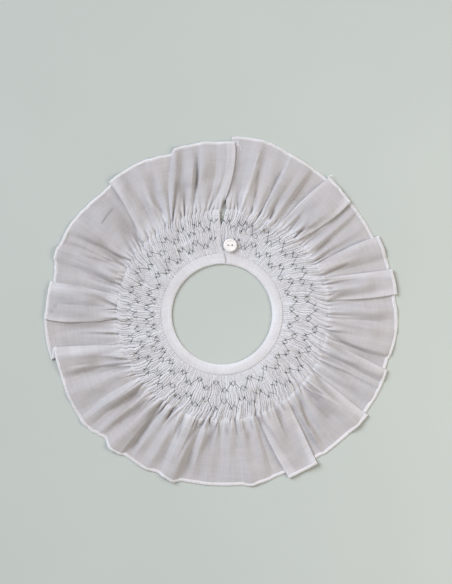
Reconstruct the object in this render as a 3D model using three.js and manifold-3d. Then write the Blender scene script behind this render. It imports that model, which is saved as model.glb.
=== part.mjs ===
// A child's collar of white cotton lawn, laid flat with its right side up.
// One long strip is pleated and smocked round the neck, and its free edge falls in a ruffle with a
// rolled hem.
// A bias neckband binds the pleats, and a two-hole shell button closes the opening at the back of the neck.
// Millimetres, +Z up. Angles run counter-clockwise from +X, seen from above. The surface it lies on is z = 0.

import * as THREE from "three";
import { mergeVertices } from "three/addons/utils/BufferGeometryUtils.js";
import Module from "manifold-3d";

const wasm = await Module();
wasm.setup();

// Driving dimensions
const NECK_RADIUS = 42.9; // inner edge of the neckband
const BAND_RADIUS = 51.9; // its outer edge, where the pleats come out
const GATHER_RADIUS = 90.6; // the last gathering row, where the ruffle starts
const SEAM_GAP = 0.3; // between pieces that are sewn together
const WALL = 1.0; // one layer of the ruffle
const HEM_WALL = 1.3; // the rolled hem at its outer edge
const HEM_WIDTH = 2.2;
const PLACKET_WALL = 1.3; // the turned hems along the back opening
const LAYER_STEP = { root: 1.35, hem: 1.65 }; // from one layer to the next where they lie on each other

// Both edges of the back opening, from the neck outwards: they butt as far as 74 mm, then part.
const OPENING = table(
  ["radius", "left", "right"],
  [
    [42.9, 85.5, 85.5],
    [46.6, 85.8, 85.8],
    [53.4, 88.2, 88.2],
    [63.7, 90.4, 90.4],
    [74.0, 91.1, 91.1],
    [80.0, 91.6, 89.7],
    [90.6, 91.1, 88.3],
  ],
);

// Neckband: its flat underside and rounded top, as a section across the band
const BAND_SEGMENTS = 72;
const BAND_SECTION = table(
  ["across", "height"],
  [
    [0.04, 0],
    [0, 0.9],
    [0.08, 1.9],
    [0.5, 2.4],
    [0.9, 2.7],
    [1, 2.0],
    [0.98, 0],
  ],
);

// Smocked yoke: raised pleats over a plain flat underside
const PLEATS = 155;
const PLEAT_SWIRL = 4.5; // degrees that a pleat leans from the band to the gathering row
const PLEAT_RELAX = 0.06; // share of the strip beside the opening where the lean dies out
const PLEAT_UNEVEN = [
  { size: 0.2, turn: 2.4 },
  { size: 0.15, turn: 1.1 },
];
const PLEAT_HEIGHT_CHANGE = { size: 0.07, turn: 1.7 };
const PLEAT_SHOULDERS = [0.33, 0.67]; // where a pleat's flat top starts and ends
const YOKE_RINGS = table(
  ["radius", "groove", "ridge"],
  [
    [BAND_RADIUS + SEAM_GAP, 0.9, 2.7],
    [63, 0.9, 3.3],
    [75, 0.9, 3.3],
    [GATHER_RADIUS, 0.9, 3.0],
  ],
);

// Ruffle: where each fold lies at the gathering row, half way out and at the hem, in degrees.
// crest and dip are ridges and troughs. over is a folded edge that lies over what follows it, under one that
// lies over what comes before it. placket is the inner line of a turned hem along the opening. rise and lift
// are the height of the cloth's underside half way out and at the hem, reach is how far the cloth under a
// folded edge runs back at the hem, and rim is the hem's radius, with rimUnder that of the layer below.
const HALF_WAY = 0.45;
const ROOT_HEIGHT = {
  topEnd: 1.9,
  lowEnd: 0.2,
  placket: 0.8,
  crest: 1.9,
  dip: 0.3,
  over: 2.6,
  under: 2.6,
};
const ROOT_REACH = 2.4;
const HALF_WAY_REACH = 0.6; // share of the reach at the hem
const RIM_CHANGE = { from: 0.2, to: 0.8 }; // where the hem's radius changes, as shares of the hidden layer
const FOLDS = table(
  ["kind", "root", "half", "hem", "rise", "lift", "rim", "reach", "rimUnder"],
  [
    ["topEnd", 91.1, 85.9, 85.7, 2.0, 2.0, 148.0],
    ["placket", 95, 89.2, 88.4, 2.2, 2.0, 148.2],
    ["dip", 98, 93.2, 92, 0.4, 0.3, 147.9],
    ["crest", 103, 98.8, 96.4, 3.5, 2.1, 149.0],
    ["dip", 106.3, 100.6, 98.2, 0, 0.3, 148.3],
    ["crest", 108, 102.6, 100.6, 3.7, 1.7, 148.0],
    ["dip", 112.5, 107.2, 103.4, 1.6, 1.3, 148.2],
    ["crest", 117, 110.6, 105.6, 3.9, 2.1, 148.0],
    ["dip", 118.8, 113.6, 107.6, 0.9, 0.2, 144.4],
    ["crest", 120.2, 116, 113.4, 2.2, 1.1, 146.5],
    ["dip", 121.8, 118.9, 117.3, 0.2, 0.5, 148.2],
    ["crest", 126.3, 121.9, 120.6, 3.2, 1.3, 148.8],
    ["dip", 128.4, 125.4, 124.4, 0.2, 0.3, 149.0],
    ["crest", 131.5, 129.2, 127.4, 3.2, 3.2, 149.2],
    ["over", 137.4, 132.8, 130.4, 3.0, 3.0, 149.0, 5.5, 146.8],
    ["dip", 139.8, 136, 134.4, 0, 0, 146.6],
    ["crest", 143.5, 142, 141, 1.7, 0.7, 148.5],
    ["dip", 146.2, 145.4, 145, 0.2, 0.1, 150.0],
    ["crest", 149.8, 149.6, 149.5, 3.2, 1.5, 151.3],
    ["dip", 152, 152, 152.6, 0, 0.1, 151.6],
    ["crest", 153.5, 153.7, 154.4, 1.6, 0.7, 151.3],
    ["dip", 154.9, 154.9, 156, 0.3, 0.3, 151.4],
    ["crest", 157, 157.4, 158.6, 4.2, 2.4, 152.7],
    ["crest", 161.8, 160.3, 161, 3.6, 2.2, 152.2],
    ["dip", 164.6, 163.3, 163.6, 0, 0.1, 149.5],
    ["crest", 166.9, 166.2, 166.3, 1.3, 0.5, 147.8],
    ["under", 169.6, 169, 169.2, 3.0, 3.0, 149.9, 7, 146.6],
    ["crest", 174, 173, 172.8, 3.8, 3.1, 150.3],
    ["dip", 176.7, 176.3, 176.6, 2.3, 2.1, 150.9],
    ["over", 182.2, 183.3, 181.6, 3.2, 3.0, 151.6, 5, 152.3],
    ["dip", 185.6, 185.4, 184.2, 0, 0.1, 152.5],
    ["crest", 189.3, 188.2, 187.5, 1.6, 0.6, 152.3],
    ["under", 197, 193.3, 191.2, 3.2, 3.0, 146.6, 9, 151.7],
    ["crest", 201.5, 197.6, 195.6, 4.2, 3.1, 147.3],
    ["crest", 205.4, 202, 199.8, 3.6, 2.3, 147.7],
    ["dip", 207.3, 204.3, 202.5, 0, 0.2, 148.5],
    ["crest", 210.6, 209.4, 208.5, 2.7, 1.2, 150.0],
    ["dip", 216.8, 215.2, 215.2, 0, 0.3, 151.2],
    ["crest", 219.8, 218.2, 218, 3.3, 1.9, 151.9],
    ["dip", 223.7, 221.7, 221.4, 0, 0.5, 151.0],
    ["crest", 226.1, 224.6, 224, 3.1, 1.3, 148.5],
    ["dip", 229.6, 227.5, 226.6, 0, 0.2, 146.6],
    ["crest", 232.6, 231, 230.4, 4.7, 3.6, 150.5],
    ["crest", 236, 234.4, 233.2, 4.2, 2.7, 149.5],
    ["dip", 238.2, 236.5, 235.6, 0, 0.1, 147.4],
    ["crest", 240.4, 239, 238.5, 3.1, 1.3, 147.6],
    ["dip", 242.9, 241.7, 241.2, 1.7, 1.1, 148.2],
    ["crest", 246.5, 245.4, 243.6, 3.1, 2.1, 148.4],
    ["dip", 249.3, 248.4, 247.8, 1.0, 1.1, 147.0],
    ["crest", 253, 251.6, 250.6, 4.9, 3.8, 148.3],
    ["crest", 257.4, 254.8, 253.3, 4.9, 4.0, 150.0],
    ["dip", 260.6, 257.6, 256.6, 0, 0.3, 147.3],
    ["crest", 262, 260.5, 259.5, 2.2, 0.9, 147.0],
    ["dip", 263.4, 262.4, 262, 1.2, 0.6, 146.9],
    ["crest", 267, 265.6, 265, 2.7, 1.1, 147.0],
    ["dip", 270.6, 269.2, 268.3, 0.1, 0.3, 147.0],
    ["crest", 274, 273, 272.5, 2.7, 0.9, 147.2],
    ["dip", 277, 276.6, 276, 0.8, 0.5, 147.4],
    ["crest", 278.8, 279.4, 280, 3.6, 2.3, 149.5],
    ["dip", 282.5, 282.6, 283, 0.8, 1.3, 148.6],
    ["crest", 286.6, 285.6, 285.8, 3.1, 1.5, 148.0],
    ["dip", 288.2, 287.8, 288.6, 0, 0.1, 146.8],
    ["under", 289.4, 290.3, 292.3, 3.2, 3.0, 151.7, 8, 146.6],
    ["crest", 294.2, 295.2, 296, 3.8, 3.1, 151.5],
    ["dip", 299.4, 299, 298.4, 2.4, 3.0, 151.6],
    ["over", 307.3, 304.8, 302.6, 3.2, 3.0, 151.6, 6, 146.5],
    ["dip", 308.4, 306, 304.4, 0, 0.1, 147.5],
    ["crest", 310.7, 307.9, 306.6, 3.3, 1.1, 148.6],
    ["dip", 313.6, 309.8, 308.6, 0.2, 0.5, 148.7],
    ["crest", 315.6, 312.6, 311.8, 1.9, 1.0, 148.8],
    ["dip", 317.4, 316.6, 316, 0.8, 0.9, 149.5],
    ["crest", 319.2, 321, 322, 3.8, 3.1, 151.4],
    ["over", 327.8, 326.5, 325.3, 3.3, 3.0, 152.0, 7, 149.5],
    ["dip", 329.6, 328.6, 328, 0, 0, 149.4],
    ["crest", 332.5, 332.3, 332, 2.0, 0.7, 150.0],
    ["dip", 335, 335.3, 336.2, 0, 0.2, 150.0],
    ["crest", 340.6, 339.2, 338.6, 3.5, 3.0, 149.7],
    ["over", 346, 343.6, 341.3, 3.5, 3.0, 149.5, 5, 147.8],
    ["dip", 347.6, 345.2, 344.5, 0, 0, 147.6],
    ["crest", 349.6, 347.3, 347, 3.7, 1.7, 149.0],
    ["dip", 351.3, 351, 350.8, 2.5, 1.3, 150.2],
    ["crest", 354, 354, 353.6, 3.4, 1.7, 150.8],
    ["dip", 357.4, 357.5, 356.8, 0, 0.7, 150.9],
    ["crest", 361.8, 361.4, 361, 3.1, 1.5, 150.3],
    ["dip", 364.6, 364.4, 364.6, 0, 0, 149.0],
    ["under", 367.5, 366.3, 366.6, 3.5, 3.1, 151.0, 7, 148.4],
    ["crest", 371.2, 371, 370.6, 4.2, 3.2, 151.2],
    ["over", 379.8, 377, 374.8, 3.4, 3.0, 150.8, 6, 149.0],
    ["dip", 381.4, 379.9, 378.4, 0, 0, 149.2],
    ["crest", 384.2, 383.4, 383.2, 3.3, 3.3, 150.0],
    ["over", 388, 387.9, 386.6, 3.5, 3.0, 150.4, 6, 146.2],
    ["dip", 389.8, 389.6, 388.6, 0, 0, 146.0],
    ["crest", 391.8, 391.7, 392, 1.7, 0.8, 146.3],
    ["dip", 394.3, 394.7, 396.2, 0, 0.1, 146.3],
    ["crest", 397, 397, 397.5, 2.4, 1.1, 146.3],
    ["dip", 400.6, 400, 400, 0, 0, 146.2],
    ["under", 404.3, 401.3, 401.2, 3.7, 3.0, 146.6, 7, 146.2],
    ["crest", 407.8, 405, 404.8, 4.5, 3.1, 147.2],
    ["dip", 411, 409.6, 407.8, 2.7, 3.0, 148.5],
    ["over", 417, 415, 411.9, 3.4, 3.0, 149.3, 4.5, 147.0],
    ["dip", 420, 418.3, 416.5, 0, 0, 147.3],
    ["crest", 422, 420.3, 419, 3.7, 1.3, 147.8],
    ["dip", 423.7, 422.8, 422, 2.6, 1.3, 148.3],
    ["crest", 427.8, 426.3, 426, 3.5, 1.9, 149.3],
    ["dip", 429.4, 427.7, 427.3, 0.3, 0.9, 149.8],
    ["crest", 431.4, 431.2, 431, 2.2, 1.3, 151.5],
    ["dip", 433.8, 434.6, 434.4, 0.1, 1.0, 152.8],
    ["crest", 439.4, 438.2, 436.9, 3.0, 1.7, 153.4],
    ["dip", 442.4, 441.4, 440.4, 0.3, 0.3, 153.3],
    ["placket", 446, 444.7, 444.6, 0, 0, 153.0],
    ["lowEnd", 448.3, 447.4, 446.8, 0, 0, 152.4],
  ],
);
const RUFFLE_ROWS = [0, 0.16, 0.42, 0.7]; // shares of the way out, before the two rows of the hem
const COLUMN_STEP = 3.0; // widest step between columns, half way out

// Button: two-hole, dished, 11.4 mm across, with a rounded rim
const BUTTON_AT = { radius: 59.5, angle: 83.2 };
const BUTTON_BASE = 3.7;
const BUTTON_SIDES = 36;
const BUTTON_HOLE = { radius: 0.75, apart: 3.0, depth: 10, sides: 12 };
const BUTTON_PROFILE = table(
  ["radius", "height"],
  [
    [0, 0],
    [3.6, 0],
    [5.2, 0.7],
    [5.7, 1.4],
    [5.4, 2.0],
    [4.5, 2.2],
    [3.5, 1.7],
    [0, 1.5],
  ],
);

const MERGE_DISTANCE = 1e-4;

const LAWN = new THREE.MeshStandardMaterial({
  color: 0xe6e3e4,
  roughness: 0.85,
  metalness: 0,
  side: THREE.DoubleSide,
});
const SHELL = new THREE.MeshStandardMaterial({
  color: 0xefe9dc,
  roughness: 0.25,
  metalness: 0,
});

// A list of rows as objects with named columns.
function table(columns, rows) {
  return rows.map((row) =>
    Object.fromEntries(columns.map((name, i) => [name, row[i]])),
  );
}

function lerp(a, b, t) {
  return a + (b - a) * t;
}

function smooth(t) {
  const x = Math.min(1, Math.max(0, t));
  return x * x * (3 - 2 * x);
}

// The parabola through a value at the gathering row, half way out and at the hem.
function alongFold(root, half, hem, t) {
  const m = HALF_WAY;
  return (
    (root * (t - m) * (t - 1)) / m +
    (half * t * (t - 1)) / (m * (m - 1)) +
    (hem * t * (t - m)) / (1 - m)
  );
}

// The angle of one edge of the opening at a radius.
function openingAngle(side, radius) {
  const last = OPENING.length - 1;
  let i = 0;
  while (i < last - 1 && OPENING[i + 1].radius < radius) i++;
  const [a, b] = [OPENING[i], OPENING[i + 1]];
  const t = (radius - a.radius) / (b.radius - a.radius);
  return lerp(a[side], b[side], Math.min(1, Math.max(0, t)));
}

// A place on a ring that starts at the opening's left edge (0) and ends at its right edge (1).
function ringAngle(share, radius) {
  const halfGap = THREE.MathUtils.radToDeg(SEAM_GAP / 2 / radius);
  const start = openingAngle("left", radius) + halfGap;
  const end = openingAngle("right", radius) - halfGap + 360;
  return lerp(start, end, share);
}

function polar(radius, degrees, height) {
  const a = THREE.MathUtils.degToRad(degrees);
  return new THREE.Vector3(
    radius * Math.cos(a),
    radius * Math.sin(a),
    height,
  );
}

// Triangles between two rows of points that may differ in number.
function bridge(triangles, a, b, flip = false) {
  let i = 0;
  let j = 0;
  while (i < a.length - 1 || j < b.length - 1) {
    const nextA = (i + 1) / (a.length - 1);
    const nextB = (j + 1) / (b.length - 1);
    const stepA = j === b.length - 1 || (i < a.length - 1 && nextA <= nextB);
    const third = stepA ? a[++i] : b[++j];
    const triangle = stepA ? [a[i - 1], third, b[j]] : [a[i], third, b[j - 1]];
    triangles.push(flip ? triangle.reverse() : triangle);
  }
}

// A slab between an upper and a lower grid of points, each a list of rows that run the same way.
// The rows may hold different numbers of points, and all sides are closed.
function slab(upper, lower) {
  const triangles = [];
  for (let i = 1; i < upper.length; i++)
    bridge(triangles, upper[i - 1], upper[i]);
  for (let i = 1; i < lower.length; i++)
    bridge(triangles, lower[i - 1], lower[i], true);
  bridge(triangles, lower[0], upper[0]);
  bridge(triangles, lower.at(-1), upper.at(-1), true);
  const first = (grid) => grid.map((row) => row[0]);
  const last = (grid) => grid.map((row) => row.at(-1));
  bridge(triangles, first(lower), first(upper), true);
  bridge(triangles, last(lower), last(upper));
  return outward(
    new THREE.BufferGeometry().setFromPoints(triangles.flat()),
  );
}

// The geometry with its faces pointing out.
function outward(geometry) {
  const p = geometry.getAttribute("position");
  const corner = (i) => new THREE.Vector3().fromBufferAttribute(p, i);
  let volume = 0;
  for (let i = 0; i < p.count; i += 3)
    volume += corner(i).dot(corner(i + 1).cross(corner(i + 2)));
  if (volume < 0)
    for (let i = 0; i < p.count; i += 3) {
      const [b, c] = [corner(i + 1), corner(i + 2)];
      p.setXYZ(i + 1, c.x, c.y, c.z);
      p.setXYZ(i + 2, b.x, b.y, b.z);
    }
  geometry.computeVertexNormals();
  return geometry;
}

// The neckband is one section swept round the neck, with slanted ends that butt at the opening.
function neckband() {
  const ring = ({ across, height }) => {
    const radius = lerp(NECK_RADIUS, BAND_RADIUS, across);
    return Array.from({ length: BAND_SEGMENTS + 1 }, (_, i) =>
      polar(radius, ringAngle(i / BAND_SEGMENTS, radius), height),
    );
  };
  const rings = BAND_SECTION.map(ring);
  return slab(rings, [rings[0], rings.at(-1)]);
}

// A pleat's place on the strip, a little uneven, as the gathering threads draw it up.
function pleatShare(pleat) {
  const uneven = PLEAT_UNEVEN.reduce(
    (sum, { size, turn }) => sum + size * Math.sin(turn * pleat),
    0,
  );
  const inside = Math.sin((Math.PI * pleat) / PLEATS);
  return (pleat + uneven * Math.sqrt(Math.abs(inside))) / PLEATS;
}

function yokeAngle(share, radius) {
  const out =
    (radius - YOKE_RINGS[0].radius) / (GATHER_RADIUS - YOKE_RINGS[0].radius);
  const lean = PLEAT_SWIRL * (1 - smooth(out));
  const beside = Math.min(share, 1 - share) / PLEAT_RELAX;
  return ringAngle(share, radius) + lean * smooth(beside);
}

function smockedYoke() {
  const { size, turn } = PLEAT_HEIGHT_CHANGE;
  const pleatHeight = (pleat) => 1 + size * Math.sin(turn * pleat);
  const upper = YOKE_RINGS.map(({ radius, groove, ridge }) => {
    const row = [];
    for (let pleat = 0; pleat < PLEATS; pleat++) {
      const top = groove + (ridge - groove) * pleatHeight(pleat);
      const from = pleatShare(pleat);
      const to = pleatShare(pleat + 1);
      row.push(polar(radius, yokeAngle(from, radius), groove));
      for (const side of PLEAT_SHOULDERS)
        row.push(polar(radius, yokeAngle(lerp(from, to, side), radius), top));
    }
    row.push(polar(radius, yokeAngle(1, radius), groove));
    return row;
  });
  const lower = [YOKE_RINGS[0], YOKE_RINGS.at(-1)].map(({ radius }) =>
    Array.from({ length: PLEATS + 1 }, (_, pleat) =>
      polar(radius, yokeAngle(pleatShare(pleat), radius), 0),
    ),
  );
  return slab(upper, lower);
}

// A column of the ruffle gives its rim, and for a share of the way out its angle and height.
function plainColumn(fold) {
  return {
    rim: fold.rim,
    placket: ["topEnd", "placket", "lowEnd"].includes(fold.kind),
    at: (out) => ({
      angle: alongFold(fold.root, fold.half, fold.hem, out),
      height: Math.max(
        0,
        alongFold(ROOT_HEIGHT[fold.kind], fold.rise, fold.lift, out),
      ),
    }),
  };
}

// A folded edge: the upper layer turns under at the edge, runs back by its reach and turns again.
function lapColumns(fold) {
  const back = fold.kind === "over" ? -1 : 1;
  const place = (out) => {
    const radius = lerp(GATHER_RADIUS, fold.rim, out);
    const degrees = (length) => THREE.MathUtils.radToDeg(length / radius);
    const middle = lerp(LAYER_STEP.root, LAYER_STEP.hem, smooth(out));
    const upper = Math.max(
      2 * middle,
      alongFold(ROOT_HEIGHT[fold.kind], fold.rise, fold.lift, out),
    );
    const half = HALF_WAY_REACH * fold.reach;
    return {
      edge: alongFold(fold.root, fold.half, fold.hem, out),
      reach: degrees(alongFold(ROOT_REACH, half, fold.reach, out)),
      upperTurn: degrees((upper - middle) / 2),
      lowerTurn: degrees(middle / 2),
      middle,
      upper,
    };
  };
  const rimDown = (share) => lerp(fold.rim, fold.rimUnder, share);
  const column = (rim, set, height) => ({
    rim,
    placket: false,
    at: (out) => {
      const p = place(out);
      return { angle: p.edge + back * set(p), height: height(p) };
    },
  });
  const columns = [
    column(fold.rim, (p) => p.upperTurn, (p) => p.upper),
    column(fold.rim, () => 0, (p) => (p.upper + p.middle) / 2),
    column(rimDown(RIM_CHANGE.from), (p) => p.upperTurn, (p) => p.middle),
    column(rimDown(RIM_CHANGE.to), (p) => p.reach - p.lowerTurn, (p) => p.middle),
    column(fold.rimUnder, (p) => p.reach, (p) => p.middle / 2),
    column(fold.rimUnder, (p) => p.reach - p.lowerTurn, () => 0),
  ];
  return fold.kind === "over" ? columns : columns.reverse();
}

// Columns between two others, rising or falling smoothly.
function blendColumns(a, b) {
  const width =
    ((b.at(HALF_WAY).angle - a.at(HALF_WAY).angle) * Math.PI) / 180;
  const radius = lerp(GATHER_RADIUS, a.rim, HALF_WAY);
  const steps = Math.max(1, Math.ceil((width * radius) / COLUMN_STEP));
  return Array.from({ length: steps - 1 }, (_, i) => {
    const share = (i + 1) / steps;
    return {
      rim: lerp(a.rim, b.rim, smooth(share)),
      placket: a.placket && b.placket,
      at: (out) => {
        const [p, q] = [a.at(out), b.at(out)];
        return {
          angle: lerp(p.angle, q.angle, share),
          height: lerp(p.height, q.height, smooth(share)),
        };
      },
    };
  });
}

function ruffleColumns() {
  const columns = [];
  for (const fold of FOLDS) {
    const lap = fold.kind === "over" || fold.kind === "under";
    const own = lap ? lapColumns(fold) : [plainColumn(fold)];
    if (columns.length) columns.push(...blendColumns(columns.at(-1), own[0]));
    columns.push(...own);
  }
  return columns;
}

// One row of the ruffle, as its middle line along the strip, then moved half the wall up and down.
function ruffleRow(columns, { radiusAt, wall }) {
  const wallOf = (column) => (column.placket ? Math.max(wall, PLACKET_WALL) : wall);
  const line = columns.map((column) => {
    const radius = radiusAt(column.rim);
    const out = (radius - GATHER_RADIUS) / (column.rim - GATHER_RADIUS);
    const { angle, height } = column.at(out);
    return { radius, angle, middle: height + wallOf(column) / 2 };
  });
  const flat = [];
  line.forEach(({ radius, angle, middle }, i) => {
    const before = line[Math.max(0, i - 1)];
    const step = THREE.MathUtils.degToRad(angle - before.angle);
    const from = i ? flat[i - 1].x : 0;
    const along = (step * (radius + before.radius)) / 2;
    flat.push(new THREE.Vector2(from + along, middle));
  });
  const normal = (i) => {
    const before = flat[i].clone().sub(flat[Math.max(0, i - 1)]).normalize();
    const after = flat[Math.min(flat.length - 1, i + 1)]
      .clone()
      .sub(flat[i])
      .normalize();
    const along = before.add(after).normalize();
    return new THREE.Vector2(-along.y, along.x);
  };
  const moved = (side) =>
    line.map(({ radius, angle, middle }, i) => {
      const n = normal(i).multiplyScalar((side * wallOf(columns[i])) / 2);
      const turn = THREE.MathUtils.radToDeg(n.x / radius);
      return polar(radius, angle + turn, Math.max(0, middle + n.y));
    });
  return { upper: moved(1), lower: moved(-1) };
}

function ruffle() {
  const columns = ruffleColumns();
  const rows = [
    ...RUFFLE_ROWS.map((out) => ({
      radiusAt: (rim) => lerp(GATHER_RADIUS + SEAM_GAP, rim, out),
      wall: WALL,
    })),
    { radiusAt: (rim) => rim - HEM_WIDTH, wall: WALL },
    { radiusAt: (rim) => rim, wall: HEM_WALL },
  ].map((row) => ruffleRow(columns, row));
  return slab(
    rows.map((row) => row.upper),
    rows.map((row) => row.lower),
  );
}

// A closed geometry as a manifold-3d solid.
function solid(geometry) {
  const bare = geometry.clone().deleteAttribute("normal").deleteAttribute("uv");
  const merged = mergeVertices(bare, MERGE_DISTANCE);
  return new wasm.Manifold(
    new wasm.Mesh({
      numProp: 3,
      vertProperties: merged.getAttribute("position").array,
      triVerts: new Uint32Array(merged.index.array),
    }),
  );
}

function button() {
  const profile = BUTTON_PROFILE.map(
    ({ radius, height }) => new THREE.Vector2(radius, height),
  );
  let body = solid(
    new THREE.LatheGeometry(profile, BUTTON_SIDES).rotateX(Math.PI / 2),
  );
  for (const side of [-1, 1]) {
    const hole = new THREE.CylinderGeometry(
      BUTTON_HOLE.radius,
      BUTTON_HOLE.radius,
      BUTTON_HOLE.depth,
      BUTTON_HOLE.sides,
    )
      .rotateX(Math.PI / 2)
      .translate((side * BUTTON_HOLE.apart) / 2, 0, 0);
    body = body.subtract(solid(hole));
  }
  const mesh = body.getMesh();
  const geometry = new THREE.BufferGeometry();
  geometry.setAttribute(
    "position",
    new THREE.BufferAttribute(mesh.vertProperties, 3),
  );
  geometry.setIndex(new THREE.BufferAttribute(mesh.triVerts, 1));
  geometry.computeVertexNormals();
  return geometry;
}

function named(name, geometry, material) {
  const mesh = new THREE.Mesh(geometry, material);
  mesh.name = name;
  return mesh;
}

const collar = new THREE.Group();
collar.add(named("neckband", neckband(), LAWN));
collar.add(named("smocked_yoke", smockedYoke(), LAWN));
collar.add(named("ruffle", ruffle(), LAWN));

const shellButton = named("button", button(), SHELL);
shellButton.position.copy(
  polar(BUTTON_AT.radius, BUTTON_AT.angle, BUTTON_BASE),
);
collar.add(shellButton);

// The origin is the middle of the collar's outline, on the surface it lies on.
const extent = new THREE.Box3().setFromObject(collar, true);
const middle = extent.getCenter(new THREE.Vector3());
collar.position.set(-middle.x, -middle.y, -extent.min.z);

export default collar;
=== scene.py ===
import math

import bpy
import numpy as np
from mathutils.bvhtree import BVHTree
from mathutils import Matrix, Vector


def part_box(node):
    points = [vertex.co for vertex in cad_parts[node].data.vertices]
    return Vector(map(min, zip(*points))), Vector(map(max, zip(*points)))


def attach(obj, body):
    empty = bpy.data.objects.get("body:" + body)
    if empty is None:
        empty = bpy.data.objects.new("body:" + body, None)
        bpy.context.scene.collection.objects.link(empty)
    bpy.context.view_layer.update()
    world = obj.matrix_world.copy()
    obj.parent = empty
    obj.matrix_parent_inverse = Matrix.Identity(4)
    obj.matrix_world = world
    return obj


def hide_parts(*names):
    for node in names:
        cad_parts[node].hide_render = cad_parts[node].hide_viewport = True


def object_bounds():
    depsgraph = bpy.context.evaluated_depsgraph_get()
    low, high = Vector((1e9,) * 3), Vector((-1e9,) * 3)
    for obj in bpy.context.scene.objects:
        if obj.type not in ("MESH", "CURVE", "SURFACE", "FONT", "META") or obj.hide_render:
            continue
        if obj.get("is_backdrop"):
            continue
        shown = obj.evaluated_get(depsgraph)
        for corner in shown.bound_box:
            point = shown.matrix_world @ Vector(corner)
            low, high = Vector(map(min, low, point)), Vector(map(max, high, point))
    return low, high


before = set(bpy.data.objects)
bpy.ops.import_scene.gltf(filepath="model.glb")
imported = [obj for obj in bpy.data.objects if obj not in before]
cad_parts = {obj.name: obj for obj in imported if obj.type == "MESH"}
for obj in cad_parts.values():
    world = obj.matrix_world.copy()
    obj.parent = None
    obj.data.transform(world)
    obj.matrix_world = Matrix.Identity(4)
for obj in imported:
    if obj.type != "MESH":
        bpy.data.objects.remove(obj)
cad_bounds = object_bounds()

# The collar lies flat, right side up, round the middle of its neck opening. Angles run counter-clockwise from
# +X, seen from above. The tables give angles in degrees and lengths in millimetres, and MM makes them metres.
# Every random draw comes from one generator, in the order of the script.
MM = 0.001
band_low, band_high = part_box("neckband")
NECK_X = (band_low[0] + band_high[0]) / 2
NECK_Y = (band_low[1] + band_high[1]) / 2
SEED = 41
RIPPLE_WAVES = 14
RIPPLE_SIZES = (0.7, 1.5)
rng = np.random.default_rng(SEED)


def table(columns, rows):
    """Rows of values as dictionaries with named columns."""
    return [dict(zip(columns, row)) for row in rows]


def read_off(rows, key, at, name):
    """The values of one column of a table at places of another, straight between its rows."""
    return np.interp(at, [row[key] for row in rows], [row[name] for row in rows])


def smooth(t):
    """A soft step from 0 to 1."""
    t = np.clip(t, 0, 1)
    return t * t * (3 - 2 * t)


def bell(t, power=2):
    """A hump that is 1 at 0 and dies away."""
    return np.exp(-(t**power))


def between(a, b, share):
    """What lies a share of the way from one value to another."""
    return a + (b - a) * share


def joined(*parts):
    """Coordinates that belong together, for every point of a grid."""
    return np.stack(np.broadcast_arrays(*parts), axis=-1)


def place(radius, degrees, height):
    """Points in metres round the neck, from millimetres and degrees."""
    turn = np.radians(degrees)
    return joined(NECK_X + radius * np.cos(turn) * MM, NECK_Y + radius * np.sin(turn) * MM, height * MM)


def smooth_noise(across, along):
    """Random values from -1 to 1 on a grid, smooth between whole numbers of its two coordinates."""
    cells = rng.uniform(-1, 1, (int(across.max()) + 2, int(along.max()) + 2))
    i = across.astype(int)
    j = along.astype(int)
    s = smooth(across - i)[:, None]
    t = smooth(along - j)[None, :]
    near = cells[i][:, j] * (1 - t) + cells[i][:, j + 1] * t
    far = cells[i + 1][:, j] * (1 - t) + cells[i + 1][:, j + 1] * t
    return near * (1 - s) + far * s


def chances(across, along):
    """The same smooth random values, from 0 to 1."""
    return 0.5 + 0.5 * smooth_noise(across, along)


def ripples(x, y, length):
    """Smooth random heights, about -1 to 1, at places in metres: waves that cross in every direction."""
    full_turn = 2 * np.pi
    least = (0, 0, RIPPLE_SIZES[0])
    most = (full_turn, full_turn, RIPPLE_SIZES[1])
    total = 0
    for turn, start, size in rng.uniform(least, most, (RIPPLE_WAVES, 3)):
        crossing = x * np.cos(turn) + y * np.sin(turn)
        total = total + np.sin(full_turn * crossing / (size * length * MM) + start)
    return total / RIPPLE_WAVES**0.5


# Lawn: fine plain-woven cotton, bleached white and washed often. It looks matt and soft, greyer where it lies
# single and the whiter the more layers there are, with the odd thick thread. Shade is painted into its colour
# down in its creases and gathers, and light along a few ridges.
# Its own 0.3 mm threads are too fine to show, so the weave is drawn at 0.9 mm.
# The creased colour is the dark end of the layers range: single lawn lies a third of the way to it, and below
# 0 the range paints shade into creases and gathers.
LAWN_COLOURS = {"creased": "#B3B0B0", "layered": "#F1F5FB", "worn": "#CFC5BE", "shone_through": "#FFEAD9"}
LAYER_RANGE = (-0.5, 1.0)
LAWN_FINISH = {
    "Roughness": 0.86, "IOR": 1.46, "Specular IOR Level": 0.3, "Sheen Weight": 0.12, "Sheen Roughness": 0.5
}
LAWN_THICKNESS = 0.22
SEE_THROUGH = 0.24
WEAVE = {"pitch": 0.0009, "depth": 0.00012, "strength": 0.6}
WAVE_PERIOD = 2 * math.pi / 20
WAVE_UNEVEN = {"Distortion": 0.6, "Detail": 1.0, "Detail Scale": 0.3}
CLOUDS = {"size": 0.035, "from": (0.35, 0.75), "to": (0.0, 0.32)}
SLUB = {"width": 0.0016, "length": 0.03, "from": (0.7, 1.3), "to": (0.93, 1.05)}
PUCKER = {"width": 0.0038, "length": 0.0065, "depth": 0.0009}
SLUB_SEEDS = (0.0, 3.7, 8.2)


def linear(colour):
    """An sRGB hex value as a linear colour."""
    channels = [int(colour[i : i + 2], 16) / 255 for i in (1, 3, 5)]
    return [c / 12.92 if c <= 0.04045 else ((c + 0.055) / 1.055) ** 2.4 for c in channels] + [1.0]


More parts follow.
